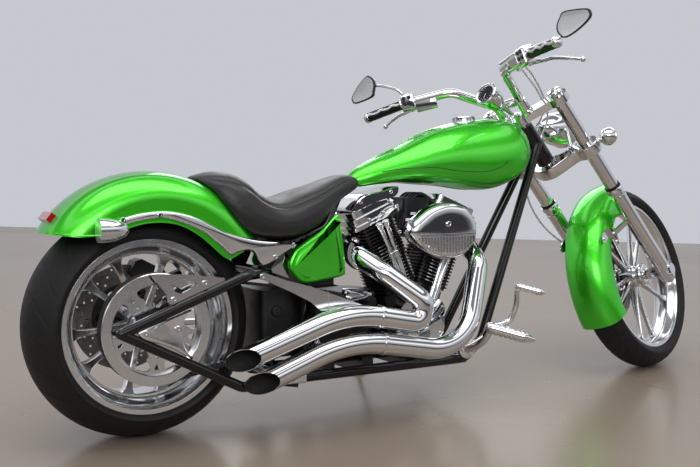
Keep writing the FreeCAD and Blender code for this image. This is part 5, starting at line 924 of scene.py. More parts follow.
def slashed_pipe(piece, line):
    """A pipe whose outlet is cut back along its outer side; the bore is sooty."""
    skin = []
    for i, place in enumerate(line):
        along = (line[min(i + 1, len(line) - 1)] - line[max(i - 1, 0)]).normalized()
        side = along.cross(Z_AXIS).normalized()
        if side.y < 0:
            side = -side
        up = side.cross(along).normalized()
        skin.append((place, side, up, along))
    last = len(line) - 1
    sides = 56

    def loop_at(i, reach, cut, deep=0.0):
        place, side, up, along = skin[i]
        loop = []
        for k in range(sides):
            a = 2 * math.pi * k / sides
            back = cut * (math.cos(a) - 1) * 0.5 - deep
            loop.append(place + (side * math.cos(a) + up * math.sin(a)) * reach + along * back)
        return loop

    rings = [loop_at(i, PIPE_RADIUS, PIPE_SLASH if i == last else 0.0) for i in range(len(skin))]
    piece.add(stack(rings, caps=False))
    inside = [loop_at(last, PIPE_BORE, PIPE_SLASH), loop_at(last, PIPE_BORE, 0.0, PIPE_BORE_DEPTH)]
    piece.add(stack([rings[-1], inside[0]], caps=False))
    points, faces = stack(inside, caps=False)
    faces.append(tuple(sides + k for k in range(sides)))
    piece.add((points, faces), 1)


def port(side, along):
    """A point at a distance outward of one cylinder's exhaust port."""
    place = cylinder_frame(side) @ Vector((side * 68.3, 0, 346))
    out = (cylinder_frame(side).to_3x3() @ Vector((side, 0, 0))).normalized()
    return place + out * along


def exhaust_pipes():
    """Two chrome pipes: down from the ports, outward and back, one above the other."""
    front = [port(1, -4), port(1, 44), (1114, -140, 455), (985, PIPE_Y, 185), (560, PIPE_Y, 262),
             (238, PIPE_Y, 148)]
    rear = [port(-1, -4), port(-1, 44), (680, -110, 492), (716, -190, 447)]
    for degrees in (29.5, -21.5, -72.5):
        x, z = polar(44.3, math.radians(degrees), 783, 338)
        rear.append((x, PIPE_Y, z))
    rear += [(560, PIPE_Y, 343), (180, PIPE_Y, 220)]
    for name, node, line, clamp_x, bends in (
            ("exhaust_front_pipe", "exhaust_front", front, 745, [70, 80, 200, 460]),
            ("exhaust_rear_pipe", "exhaust_rear", rear, 690, [50, 50, 44, 44, 44, 460, 460])):
        piece = Piece(ROOT)
        line = rounded(line, bends, 14)
        slashed_pipe(piece, line)
        flange = [(PIPE_RADIUS, 0), (40, 0), (41.5, 2), (41.5, 9), (40, 11), (PIPE_RADIUS, 11)]
        piece.add(lathe(flange, line[0].lerp(line[1], 0.5), line[1] - line[0], 48))
        spot = min(line, key=lambda p: abs(p.x - clamp_x) + (1000 if p.y > PIPE_Y + 8 else 0))
        k = line.index(spot)
        piece.add(lathe(collar(PIPE_RADIUS, 36, 12), spot, line[k + 1] - line[k - 1], 48))
        piece.make(name, "root", "chrome", [CHROME, SOOT], [node], sharp=32)
    hanger = Piece(ROOT)
    hanger.add(beam((470, -128), (470, -216), 9, 246, 252))
    hanger.add(rod((470, -216, 249), (470, -212, 300), 9))
    hanger.add(beam((640, -100), (640, -216), 9, 246, 252))
    hanger.make("exhaust_hangers", "root", "chrome", [CHROME], bevel=1)


exhaust_pipes()


# Body

SEAT_REAR, SEAT_LENGTH, SEAT_HALF = 150.0, 568.0, 152.0
SEAT_STATION_SHARES = (
    (0.0, 0.06), (0.045, 0.48), (0.11, 0.8), (0.2, 0.97), (0.3, 1.0), (0.39, 1.0), (0.47, 1.0), (0.56, 0.96),
    (0.67, 0.86), (0.79, 0.66), (0.91, 0.45), (1.0, 0.3))


SEAM_SHARE = 0.8
CREASE_X = 336
PUFF_START, PUFF_END, PUFF_FADE = 165, 708, 60
SEAM_WIDTH = 5.5
ALL_AXES = {"use_axis_x": True, "use_axis_y": True, "use_axis_z": True}


def seat_half(x):
    """Half the seat's width at a place along it."""
    share = min(max((x - SEAT_REAR) / SEAT_LENGTH, 0.0), 1.0)
    for (a, half), (b, following) in zip(SEAT_STATION_SHARES, SEAT_STATION_SHARES[1:]):
        if share <= b:
            return SEAT_HALF * (half + (following - half) * (share - a) / (b - a))


def seat_pad():
    """The cushion: a remeshed copy of the seat's block, melted, then puffed between its pinched seams."""
    base = new_object("seat_base", nodes["seat"].data.copy())
    remesh = base.modifiers.new("voxels", "REMESH")
    remesh.mode = "VOXEL"
    remesh.voxel_size = 0.0055
    graph = bpy.context.evaluated_depsgraph_get()
    mesh = bpy.data.meshes.new_from_object(base.evaluated_get(graph))
    bpy.data.objects.remove(base)
    work = bmesh.new()
    work.from_mesh(mesh)
    for _ in range(7):
        bmesh.ops.smooth_vert(work, verts=work.verts, factor=0.5, **ALL_AXES)
    work.normal_update()
    turn = ROOT.to_3x3().inverted()
    moves = []
    for vert in work.verts:
        p = ROOT_BACK @ vert.co
        up = (turn @ vert.normal).normalized()
        half = seat_half(p.x)
        edge = SEAM_SHARE * half
        gap = abs(p.y) - edge
        puff = 0.0
        if up.z > 0.15 and half > 20:
            across = max(0.0, 1 - (abs(p.y) / edge) ** 2) if gap < 0 else 0.0
            ends = max(0.0, min(1.0, (p.x - PUFF_START) / PUFF_FADE, (PUFF_END - p.x) / PUFF_FADE))
            seam = 4.0 * math.exp(-(gap / SEAM_WIDTH) ** 2)
            crease = 3.5 * math.exp(-((p.x - CREASE_X) / SEAM_WIDTH) ** 2) if gap < 0 else 0.0
            puff = ends * (5.0 * across ** 0.6 - seam + (2.0 if gap > 12 else 0.0) - crease)
        moves.append(vert.normal * puff * MM * min(1.0, max(0.0, up.z * 2)))
    for vert, move in zip(work.verts, moves):
        vert.co += move
    bmesh.ops.smooth_vert(work, verts=work.verts, factor=0.35, **ALL_AXES)
    work.to_mesh(mesh)
    work.free()
    mesh.materials.clear()
    mesh.materials.append(LEATHER)
    mesh.shade_smooth()
    pad = new_object("seat_cushion", mesh)
    finer = pad.modifiers.new("finer", "SUBSURF")
    finer.levels = 1
    finer.render_levels = 1
    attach(pad, "root")
    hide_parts("seat")
    return pad


def seat_trim(pad):
    """Welts along the seams that border the top panel, and one across it."""
    bpy.context.view_layer.update()
    tree = surface_of(pad)
    piece = Piece(ROOT)
    places = [SEAT_REAR + 22 + 26 * i for i in range(21)]
    above = 900
    seams = [[(x, side * SEAM_SHARE * seat_half(x), above) for x in places] for side in (-1, 1)]
    half = SEAM_SHARE * seat_half(CREASE_X)
    seams.append([(CREASE_X, half * (i / 6 - 1), above) for i in range(13)])
    for seam in seams:
        piece.add(sweep(curve(laid(tree, seam, -Z_AXIS), 3), 1.6, 8))
    piece.make("seat_seams", "root", "seat_leather", [LEATHER])


seat_trim(seat_pad())


def shaped(shares, x, z, width, height, steps):
    """A smooth (x, z) loop from shares of a box."""
    return smooth_flat([(x + a * width, z + b * height) for a, b in shares], steps)


COVER_SHARES = ((0.83, 1.0), (0.9, 0.965), (0.955, 0.63), (1.0, 0.175), (0.948, 0.085), (0.674, 0.04),
                (0.316, 0.0), (0.137, 0.055), (0.0, 0.224), (0.0, 0.343), (0.105, 0.512), (0.32, 0.64),
                (0.6, 0.8))


def side_cover_piece():
    """Each side cover: rolled edges, then a raised inner panel."""
    loop = shaped(COVER_SHARES, 423, 423, 190, 201, 6)
    levels = ((0, -128.3), (0, -134), (2.5, -138), (7, -140.5), (16, -141), (20, -142.6), (24, -144.2))
    Piece(ROOT).add(pillow(loop, levels)).mirror().make(
        "side_covers_raised", "root", "paint", [PAINT], ["side_covers"], sharp=25)


STRUT_SHARES = (
    (-0.42, 0.6), (-0.26, 0.66), (-0.1, 0.688), (0.056, 0.69), (0.22, 0.655), (0.38, 0.588), (0.51, 0.52),
    (0.64, 0.476), (0.81, 0.437), (1.08, 0.412), (1.2, 0.423), (1.2, 0.415), (1.08, 0.345), (0.93, 0.255),
    (0.85, 0.222), (0.8, 0.255), (0.77, 0.325), (0.72, 0.355), (0.62, 0.345), (0.56, 0.318), (0.5, 0.375),
    (0.41, 0.455), (0.3, 0.535), (0.05, 0.63), (-0.1, 0.628), (-0.26, 0.6), (-0.34, 0.552), (-0.42, 0.548))


STRUT_X, STRUT_Z, STRUT_SCALE = 28, 404, 359


def strut_piece():
    """The S-shaped chrome struts, swollen toward their middles, with their bolts."""
    loop = shaped(STRUT_SHARES, STRUT_X, STRUT_Z, STRUT_SCALE, STRUT_SCALE, 3)
    piece = Piece(ROOT)
    piece.add(pillow(loop, ((0, -142.6), (0, -146), (1.2, -149.5), (3.2, -152.2), (5.6, -153.7),
                            (8, -154.2))))
    for x, z in ((427, 542), (368, 509), (392, 536)):
        piece.add(rod((x, -126, z), (x, -149, z), 11))
    piece.screws([(x, -153.4, z) for x, z in ((427, 542), (368, 509), (20, 641), (-84, 631))], -Y_AXIS,
                 radius=7, height=4)
    piece.mirror()
    piece.make("fender_struts_rounded", "root", "chrome", [CHROME], ["fender_struts"], sharp=30)


FENDER_EDGE_SHARES = (
    (-1.05, 0.535), (-0.87, 0.535), (-0.55, 0.51), (-0.36, 0.535), (-0.167, 0.588), (0.0, 0.599),
    (0.153, 0.571), (0.318, 0.479), (0.443, 0.37), (0.526, 0.3), (0.613, 0.273), (0.7, 0.292), (0.85, 0.36))


def fender_lips():
    """Rolled wire edges along the fender's lower sides."""
    tree = surface_of(nodes["rear_fender"])
    edge = [(STRUT_X + a * STRUT_SCALE, 0, STRUT_Z + b * STRUT_SCALE) for a, b in FENDER_EDGE_SHARES]
    line = []
    for p in curve(edge, 6):
        for lift in (3, 6, 10):
            mark = touch(tree, (p.x, -190, p.z + lift), Y_AXIS, 0.3)
            if mark is not None and mark.y < -60:
                line.append(mark)
                break
    piece = Piece(ROOT).add(sweep(curve(line, 1), 2.6, 10)).mirror()
    piece.make("rear_fender_roll", "root", "paint", [PAINT])


def axle_plates():
    """Polished three-cornered plates over the axle ends, between the tubes, with two screws."""
    piece = Piece(ROOT)
    loop = smooth_flat([(-62, 322), (-60, 334), (20, 360), (82, 381), (79, 372), (64, 348), (58, 316),
                        (64, 284), (80, 254), (83, 246), (20, 284), (-40, 306)], 4)
    piece.add(pillow(loop, ((0, -200.3), (0, -206), (1.5, -208.6), (4, -210))))
    for x, z in ((-46, 326), (46, 331)):
        cap = [(0, 0.6), (3, 0.6), (3.4, 3.4), (8, 3.4), (9.5, 2), (9.8, -1)]
        piece.add(lathe(cap, (x, -210, z), -Y_AXIS, 24))
    piece.mirror()
    piece.screws([(38, -200.5, 412), (129, -200.5, 452)], -Y_AXIS, radius=7.5, height=5)
    piece.add(screw((306, -193, 458), -Y_AXIS, radius=8, height=5))
    piece.add(sweep([(520, -193, 404), (525, -193, 342)], 1.4, 8))
    piece.make("axle_plates", "root", "polished_alloy", [ALLOY], sharp=30)


def pinstripes():
    """Thin dark lines along the tank: one low on each side, one by the top."""
    tree = surface_of(nodes["fuel_tank"])
    piece = Piece(ROOT)
    low = ((791, 756), (869, 767), (965, 769), (1063, 757), (1156, 755), (1217, 770), (1248, 791))
    top = ((807, 815), (870, 849), (950, 883), (1041, 904), (1092, 909))
    low, top = (curve([(x, 0, z) for x, z in points], 7) for points in (low, top))
    for side in (-1, 1):
        places = [(p.x, side * 300, p.z) for p in low]
        piece.add(sweep(laid(tree, places, -Y_AXIS * side), 1.5, 8))
        places = [(p.x, side * (60 - 12 * abs(p.x - 950) / 140), 1200) for p in top]
        piece.add(sweep(laid(tree, places, -Z_AXIS), 0.9, 8))
    piece.make("tank_pinstripes", "root", "paint", [PINSTRIPE])


def fuel_cap():
    """The domed cap on its ring, with finger flutes round its rim."""
    tilt = math.radians(-3)
    axis = Vector((math.sin(tilt), 0, math.cos(tilt)))
    centre = Vector((1158, 0, 918))
    piece = Piece(ROOT)
    piece.add(lathe([(30, -6), (41, -6), (42, 2), (41, 5), (38, 6.5), (37.5, 8), (37.5, 21), (36, 23.5),
                     (28, 25), (0, 25.6)], centre, axis, 72))
    u, v, w = basis(axis)
    flutes = 24
    for i in range(flutes):
        a = 2 * math.pi * i / flutes
        foot = centre + (u * math.cos(a) + v * math.sin(a)) * 37.6
        piece.add(sweep([foot + w * 9, foot + w * 21], 1.3, 6))
    piece.make("fuel_cap_fluted", "root", "chrome", [CHROME], ["fuel_cap"], sharp=30)


PRIMARY_SCREWS = ((540, 352), (560, 222), (650, 210), (740, 196), (840, 180), (970, 200), (985, 262),
                  (930, 312), (830, 340), (720, 376))


def primary_trim():
    """The derby cover, inspection cover and screws of the left side's primary case."""
    piece = Piece(ROOT)
    tree = surface_of(nodes["primary_cover"])
    for x, z, radius, count in ((618, 300, 62, 5), (920, 240, 36, 4)):
        y = touch(tree, (x, 400, z), -Y_AXIS).y
        cover = [(0, 6.5), (radius * 0.7, 6), (radius - 4, 4.5), (radius, 1.5), (radius, -1.5)]
        piece.add(lathe(cover, (x, y, z), Y_AXIS, 60))
        piece.screw_ring((x, y + 4.5, z), reach=radius - 9, count=count, start=0.25, axis=Y_AXIS, radius=4,
                         height=3)
    piece.screws(laid(tree, [(x, 400, z) for x, z in PRIMARY_SCREWS], -Y_AXIS), Y_AXIS, radius=5.5, height=5)
    piece.make("primary_trim", "root", "chrome", [CHROME])


side_cover_piece()
strut_piece()
fender_lips()
axle_plates()
pinstripes()
fuel_cap()
primary_trim()


# Front end

LAMP_AHEAD = Vector((0.766, 0, -0.643))


def fork_trim():
    """Collars and seal rings on the sliders, leg caps, axle caps, the stem nut and the risers' collars."""
    piece = Piece(FORK)
    for side in (-1, 1):
        leg = (FORK_OFFSET, side * LEG_Y, 0)
        for profile, steps, tint in (
                ([(24.6, 396), (29, 396), (31.5, 398), (31.5, 413), (30, 416), (24.6, 416)], 48, 0),
                ([(24.6, 416), (27.8, 416), (27.8, 424), (24.6, 424)], 48, 1),
                ([(28, 366), (29.8, 367), (29.8, 380), (28, 381)], 48, 0),
                ([(24.6, 836), (27, 838), (27, 851), (24, 856), (15, 858), (0, 858)], 48, 0),
                ([(0, 863), (8.5, 863), (9.4, 862), (9.4, 857)], 6, 0),
                ([(27.9, -22), (28.6, -33), (24, -45), (15, -52), (0, -54)], 48, 0)):
            piece.add(lathe(profile, leg, Z_AXIS, steps), tint)
    piece.add(lathe([(0, 850), (14, 850), (16, 848), (16, 838)], (0, 0, 0), Z_AXIS, 6))
    piece.add(lathe([(0, 854), (8, 854), (9, 853), (9, 849)], (0, 0, 0), Z_AXIS, 24))
    riser = [(16.2, 838), (23, 838), (24, 840), (22, 850), (19, 856), (16.2, 857)]
    for side in (-1, 1):
        piece.add(lathe(riser, (0, side * 46, 0), Z_AXIS, 40))
    piece.make("fork_trim", "steering", "chrome", [CHROME, RUBBER], sharp=30)


def lower_clamp_block():
    """The deep lower bridge, waisted between its three bosses."""
    half = ((-44, 0), (-43, 16), (-36, 34), (-12, 62), (14, 90), (26, 112), (21, 132), (24, 154), (38, 172),
            (60, 182), (84, 178), (102, 164), (110, 142), (106, 120), (92, 100), (70, 78), (50, 54), (44, 26),
            (45, 0))
    outline = [(x, y, 0) for x, y in half] + [(x, -y, 0) for x, y in reversed(half[1:-1])]
    loop = smooth_loop(outline, 3)
    rings = []
    middle = 30
    for share, z in ((0.965, 579), (0.99, 581.5), (1.0, 586), (1.0, 616), (0.99, 620), (0.965, 622.5)):
        rings.append([Vector((middle + (p.x - middle) * share, p.y * (1 + share) * 0.5, z)) for p in loop])
    Piece(FORK).add(stack(rings)).make("lower_clamp_deep", "steering", "chrome", [CHROME], sharp=30)


LEVER_ALONG = 24
POD_HALF_ACROSS = 23


def bar_points(side):
    """The grip's root and its outer end."""
    return Vector((-157, side * 268, 1106)), Vector((-201, side * 392, 1125))


def bar_basis(side):
    """Axes at the grip's root: up across the pod, toward the rider, and inward along the bar."""
    root, _ = bar_points(side)
    inward = (Vector((-92, side * 112, 1056)) - root).normalized()
    up = (Z_AXIS - inward * inward.z).normalized()
    turn = Matrix.Rotation(math.radians(-26 * side), 3, inward)
    return root, inward, turn @ up, turn @ inward.cross(up)


def soft_box(piece, root, inward, up, across, low, high, lift, half_up, half_across, corner):
    """A block along the bar with rounded corners and softened ends."""
    rings = []
    for share, h in ((0.86, low), (0.97, low + 1.6), (1.0, low + 5), (1.0, high - 5), (0.97, high - 1.6),
                     (0.86, high)):
        rings.append([root + up * (lift + u * share) + across * v * share + inward * h
                      for u, v in corner_loop(half_up, half_across, corner, 5)])
    piece.add(stack(rings))


def hand_control_piece():
    """Each side's switch pod with four buttons, its reservoir or perch, and a ball-ended lever."""
    piece = Piece(FORK)
    for side, tip in ((-1, Vector((-186, -432, 1036))), (1, Vector((-160, 386, 1052)))):
        root, inward, up, across = bar_basis(side)
        _, end = bar_points(side)
        along_bar = (piece, root, inward, up, across)
        soft_box(*along_bar, low=0.3, high=47, lift=0, half_up=31, half_across=POD_HALF_ACROSS, corner=11)
        for u in (-2, 17):
            for v in (13, 32):
                spot = root + up * u + inward * v + across * side * POD_HALF_ACROSS
                piece.add(lathe([(0, 3), (5.6, 2.6), (7, 1.2), (7, -1)], spot, across * side, 18), 1)
        if side < 0:
            soft_box(*along_bar, low=48, high=168, lift=1, half_up=20, half_across=22, corner=8)
            soft_box(*along_bar, low=52, high=164, lift=24, half_up=3.5, half_across=20, corner=3)
            piece.screws([root + inward * v + up * 27 for v in (60, 156)], up, radius=4, height=3)
        else:
            soft_box(*along_bar, low=48, high=122, lift=-20, half_up=21, half_across=15, corner=8)
        pivot = root + inward * LEVER_ALONG
        start = pivot - Z_AXIS * 23
        outer = (end - root).normalized()
        knee = root + (tip - end).normalized() * 52 + outer * 52
        places = [start, start.lerp(knee, 0.55) - Z_AXIS * 3, knee, knee.lerp(tip, 0.5) + Z_AXIS * 2, tip]
        line = curve(places, 10)
        radii = [12 - 6 * min(1, i / 9) - (0.8 if i > 30 else 0) for i in range(len(line))]
        piece.add(sweep(line, radii, 20))
        piece.add(ball(tip, 9))
        piece.add(rod(pivot - Z_AXIS * 12, pivot - Z_AXIS * 34, 10))
    piece.make("hand_controls_cut", "steering", "chrome", [CHROME, GRIP], ["hand_controls"], sharp=32)


GRIP_RADIUS, INLAY_RADIUS = 16.5, 17.4


def grip_piece():
    """Black grips with three wavy chrome inlays, a flange inside and a chrome cap at the end."""
    piece = Piece(FORK)
    steps, sides = 60, 72
    for side in (-1, 1):
        root, end = bar_points(side)
        along = end - root
        length = along.length
        u, v, w = basis(along)
        rings = []
        for i in range(steps + 1):
            h = length * (0.01 + 0.98 * i / steps)
            loop = []
            for k in range(sides):
                a = 2 * math.pi * k / sides
                wave = math.sin(3 * a + 0.55 * math.sin(2 * math.pi * h / 44))
                reach = INLAY_RADIUS if wave > 0.55 else GRIP_RADIUS
                loop.append(root + w * h + (u * math.cos(a) + v * math.sin(a)) * reach)
            rings.append(loop)
        points, faces = stack(rings)
        start = len(piece.faces)
        piece.add((points, faces))
        for k, face in enumerate(faces):
            middle = sum((points[j] for j in face), Vector()) / len(face) - root
            if len(face) == 4 and (middle - w * middle.dot(w)).length > INLAY_RADIUS - 0.2:
                piece.tints[start + k] = 1
        flange = [(12, -2), (20, -2), (21, 0), (21, 3), (17, 5), (12, 5)]
        cap = [(12, -3), (18, -3), (19, 0), (18.5, 8), (15, 13), (8, 15.5), (0, 16)]
        piece.add(lathe(flange, root, along, 40), 1)
        piece.add(lathe(cap, end, along, 40), 1)
    piece.make("grips_inlaid", "steering", "grip_rubber", [GRIP, CHROME], ["grips"], sharp=40)


MIRROR_SHARES = ((-0.28, 0.5), (0.35, 0.5), (0.5, 0.36), (0.48, 0.13), (0.14, -0.26), (-0.25, -0.5),
                 (-0.45, -0.3), (-0.5, -0.02), (-0.42, 0.28))
MIRROR_LEVEL_SHARES = ((0.9, -11.5), (0.955, -12), (1.0, -10), (1.0, -4), (0.97, 2), (0.88, 7), (0.7, 10.5),
                       (0.4, 12))
MIRROR_WIDTH, MIRROR_HEIGHT = 118, 82
MIRROR_TURN = math.radians(40)


def mirror_pieces():
    """Kite-shaped mirrors on curved stems: a domed chrome back, a dark rim and glass toward the rider."""
    piece = Piece(FORK)
    for side, middle, roll, joint, bow in (
            (1, (-84, 430, 1186), 0, (8, -30, 4), 34), (-1, (-112, -429, 1124), 14, (8, 22, -26), 2)):
        place = (Matrix.Translation(middle) @ Matrix.Rotation(MIRROR_TURN, 4, "Y")
                 @ Matrix.Rotation(math.radians(roll), 4, "X"))
        outline = [(0, a * MIRROR_WIDTH * side, -b * MIRROR_HEIGHT * side) for a, b in MIRROR_SHARES]
        loop = smooth_loop(outline, 6)
        rings = [[Vector((x, p.y * share, p.z * share)) for p in loop] for share, x in MIRROR_LEVEL_SHARES]
        for (_, x), back, front in zip(MIRROR_LEVEL_SHARES[1:], rings, rings[1:]):
            piece.add(stack([back, front], caps=False), 1 if x < -3 else 0, turn=place)
        for ends, material in ((rings[0], 2), (rings[-1], 0)):
            piece.add((ends, [tuple(range(len(loop)))]), material, turn=place)
        root, inward, _, _ = bar_basis(side)
        start = root + inward * LEVER_ALONG + Z_AXIS * 16
        goal = place @ Vector(joint)
        bends = [start, start.lerp(goal, 0.1) + Z_AXIS * bow, start.lerp(goal, 0.6) + Z_AXIS * bow * 0.7,
                 goal]
        piece.add(sweep(curve(bends, 12), 5, 16))
        piece.add(ball(goal, 9))
        piece.add(lathe([(5, 8), (8, 7), (9, 0), (5, -1)], start, Z_AXIS, 24))
    piece.make("mirrors_glazed", "steering", "chrome", [CHROME, SATIN_BLACK, MIRROR_GLASS], ["mirrors"],
               sharp=35)


def speedometer_piece():
    """A chrome bullet with a thick bezel round a dark dial with ticks and a needle."""
    piece = Piece(FORK)
    nose = Vector((0.375, 0, -0.927))
    face = Vector((-86, 0, 1003))
    piece.add(lathe([(30, 3), (31.5, -0.5), (38, -1.5), (41.5, 0.5), (42, 4), (42, 13), (40, 16), (39, 30),
                     (36, 50), (30, 68), (19, 84), (7, 91), (0, 92)], face, nose, 64))
    piece.add(lathe([(0, 1.6), (31, 1.6), (31, 4)], face, nose, 48), 1)
    u, v, _ = basis(nose)
    for i in range(11):
        a = math.radians(210 - 24 * i)
        out = u * math.cos(a) + v * math.sin(a)
        piece.add(sweep([face + out * 22 + nose, face + out * 27 + nose], 0.7, 6), 2)
    piece.add(sweep([face + nose * 0.6, face + (u * 0.5 + v * 0.87) * 20 + nose * 0.6], 0.8, 6), 2)
    piece.add(rod(face + nose * 40, Vector((-14, 0, 860)), 8))
    piece.make("speedometer_bezel", "steering", "chrome", [CHROME, DIAL, BRIGHT], ["speedometer"], sharp=32)


def headlight_piece():
    """The bullet lamp: shell, trim ring and a slightly domed lens, hung from the lower clamp."""
    piece = Piece(FORK)
    back = Vector((152, 0, 674)) - LAMP_AHEAD * 86
    radius, shell_length = 64, 172
    shares = ((0.0, 0.0), (0.05, 0.3), (0.13, 0.52), (0.28, 0.76), (0.44, 0.89), (0.6, 0.96), (0.8, 1.0),
              (0.86, 1.0))
    profile = [(b * radius, a * shell_length) for a, b in shares]
    profile += [(radius + 2.5, 150), (radius + 4, 154), (radius + 3, 161), (radius - 1, 166),
                (radius - 6, 165), (radius - 7, 160)]
    piece.add(lathe(profile, back, LAMP_AHEAD, 72))
    lens = [(radius - 6.5, 160), (radius * 0.7, 165), (radius * 0.4, 168), (0, 169)]
    piece.add(lathe(lens, back, LAMP_AHEAD, 72), 1)
    for side in (-1, 1):
        piece.add(rod(Vector((120, side * 62, 664)), Vector((120, side * 70, 664)), 12))
        arm = rounded([(30, side * 60, 604), (84, side * 66, 610), (120, side * 66, 664)], 26)
        piece.add(sweep(arm, 7, 16))
    piece.make("headlight_glazed", "steering", "chrome", [CHROME, CLEAR_LENS], ["headlight"], sharp=32)


def signal_trim():
    """Seam rings and amber caps on the front signals."""
    piece = Piece(FORK)
    for side in (-1, 1):
        place = (92, side * 214, 606)
        piece.add(lathe([(30.5, -4), (32.4, -3), (32.4, 3), (30.5, 4)], place, LAMP_AHEAD, 48))
        piece.add(lathe([(0, 32.3), (9, 31.2), (16, 28.2), (19.5, 25)], place, LAMP_AHEAD, 40), 1)
    piece.make("front_signal_trim", "steering", "chrome", [CHROME, AMBER_LENS], sharp=30)


def cord_piece(name, route, diameter):
    """A sheathed cable along a smooth curve, held at both ends; the route is in the fork's frame."""
    cable = bpy.data.curves.new(name, "CURVE")
    cable.dimensions = "3D"
    cable.bevel_depth = diameter / 2
    cable.bevel_resolution = 3
    cable.resolution_u = 10
    spline = cable.splines.new("NURBS")
    spline.points.add(len(route) - 1)
    for point, at in zip(spline.points, route):
        point.co = (*(FORK @ Vector(at)), 1)
    spline.order_u = 3
    spline.use_endpoint_u = True
    cable.materials.append(BRAID)
    obj = new_object(name, cable)
    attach(obj, "steering")


THROTTLE_ROUTE = ((-110, -172, 1050), (-76, -158, 1030), (4, -116, 1000), (42, -94, 958), (64, -86, 904),
                  (80, -76, 852), (80, -66, 802), (56, -42, 772), (30, -14, 758))
IDLE_ROUTE = ((-124, -186, 1062), (-84, -166, 1036), (26, -118, 1002), (78, -94, 944), (92, -84, 886),
              (98, -74, 834), (92, -60, 774), (62, -38, 732), (30, -13, 714))
BRAKE_ROUTE = ((34, 122, 601), (30, 134, 570), (8, 158, 520), (-22, 154, 440), (-28, 142, 360),
               (-18, 118, 280), (10, 104, 214), (34, 96, 168))
CABLE_DIAMETER = 0.0072


def cables():
    """Two sheathed cables from the right controls down to the neck, and a braided hose to the brake."""
    cord_piece("throttle_cable", THROTTLE_ROUTE, CABLE_DIAMETER)
    cord_piece("idle_cable", IDLE_ROUTE, CABLE_DIAMETER)
    cord_piece("brake_hose", BRAKE_ROUTE, CABLE_DIAMETER)
    piece = Piece(FORK)
    for route, radius in ((THROTTLE_ROUTE, 6), (IDLE_ROUTE, 6), (BRAKE_ROUTE, 7)):
        for first, second in ((route[0], route[1]), (route[-1], route[-2])):
            first = Vector(first)
            along = (Vector(second) - first).normalized()
            piece.add(rod(first - along * 6, first + along * 12, radius, 20))
    piece.make("cable_fittings", "steering", "chrome", [CHROME], sharp=30)


FENDER_LIP_RADIUS = 287
FENDER_LIP_GAP = 0.006
STAY_Y = 89


def front_fender_trim():
    """The rolled edge of the front fender, and its stay brackets with bolts."""
    piece = Piece(FORK)
    tree = surface_of(nodes["front_fender"])
    stay = smooth_flat([(8, 280), (-14, 296), (-50, 318), (-92, 320), (-104, 306), (-92, 294), (-60, 288),
                        (-36, 262), (-34, 236), (-22, 226), (-10, 236), (2, 256)], 4)
    for side in (-1, 1):
        line = []
        for i in range(120):
            x, z = polar(FENDER_LIP_RADIUS, math.radians(80 + 1.2 * i), FORK_OFFSET)
            place = Vector((x, side * 82, z))
            near = tree.find_nearest(FORK @ place)
            if near[3] < FENDER_LIP_GAP:
                line.append(place)
        piece.add(sweep(line, 2.2, 10), 1)
        low, high = sorted((side * 84.6, side * STAY_Y))
        piece.add(plate([stay], low, high))
        piece.add(beam((-6, side * 88), (52, side * 126), 5, 258, 276))
        places = [(x, side * STAY_Y, z) for x, z in ((-88, 307), (-23, 240), (-12, 270))]
        piece.screws(places, Y_AXIS * side, radius=6, height=4)
    piece.make("front_fender_trim", "steering", "chrome", [CHROME, PAINT], sharp=30)


fork_trim()
lower_clamp_block()
hand_control_piece()
grip_piece()
mirror_pieces()
speedometer_piece()
headlight_piece()
signal_trim()
cables()
front_fender_trim()


def foot_control_piece():
    """Pegs and toe pegs with ribs and spiked tips, curved levers and the bracket plates."""
    piece = Piece(ROOT)
    yaw, drop = math.radians(48), math.radians(14)
    out = Vector((math.sin(yaw) * math.cos(drop), -math.cos(yaw) * math.cos(drop), -math.sin(drop)))

    def peg(start, radius, length, ribs):
        profile = [(0, -radius * 0.4), (radius * 0.8, -radius * 0.3), (radius, 2)]
        pitch = (length * 0.66) / ribs
        for i in range(ribs):
            low = 8 + pitch * i
            profile += [(radius, low), (radius * 0.86, low + pitch * 0.16),
                        (radius * 0.86, low + pitch * 0.42), (radius, low + pitch * 0.58)]
        neck = 8 + pitch * ribs
        profile += [(radius, neck), (radius * 0.8, neck + 2), (radius * 0.8, neck + 5),
                    (radius * 0.92, neck + 7), (radius * 0.55, length * 0.9), (radius * 0.16, length - 1.5),
                    (0, length)]
        piece.add(lathe(profile, start, out, 32))

    foot = Vector((1072, -128.4, 172))
    elbow = Vector((1092, -236, 252))
    piece.add(lathe([(0, 14), (30, 14), (33.5, 12), (34, 9), (34, 0), (0, 0)], foot, -Y_AXIS, 60))
    piece.screw_ring(foot - Y_AXIS * 14, reach=23, count=3, start=0.5, axis=-Y_AXIS, radius=5.5, height=5)
    arm = curve([foot - Y_AXIS * 6, foot.lerp(elbow, 0.5) + Vector((8, -6, -14)), elbow], 10)
    piece.add(sweep(arm, [17 - 3 * math.sin(math.pi * i / (len(arm) - 1)) for i in range(len(arm))], 24))
    piece.add(ball(elbow, 18))
    peg(elbow, 20.5, 150, 6)
    top = Vector((1156, -296, 388))
    places = [elbow + Vector((0, -4, 6)), (1150, -254, 272), (1166, -272, 322), (1154, -292, 372), top]
    line = curve(places, 10)
    piece.add(sweep(line, [10 - 2.5 * i / len(line) for i in range(len(line))], 20))
    piece.add(ball(top, 11))
    peg(top, 12, 88, 5)
    rods = curve([(1092, -214, 232), (1040, -190, 196), (960, -150, 176)], 10)
    piece.add(sweep(rods, 5, 14))
    piece.mirror()
    piece.make("foot_controls_ribbed", "root", "chrome", [CHROME], ["foot_controls"], sharp=32)


foot_control_piece()


# Finishes of the frame's own pieces; those not listed are chrome

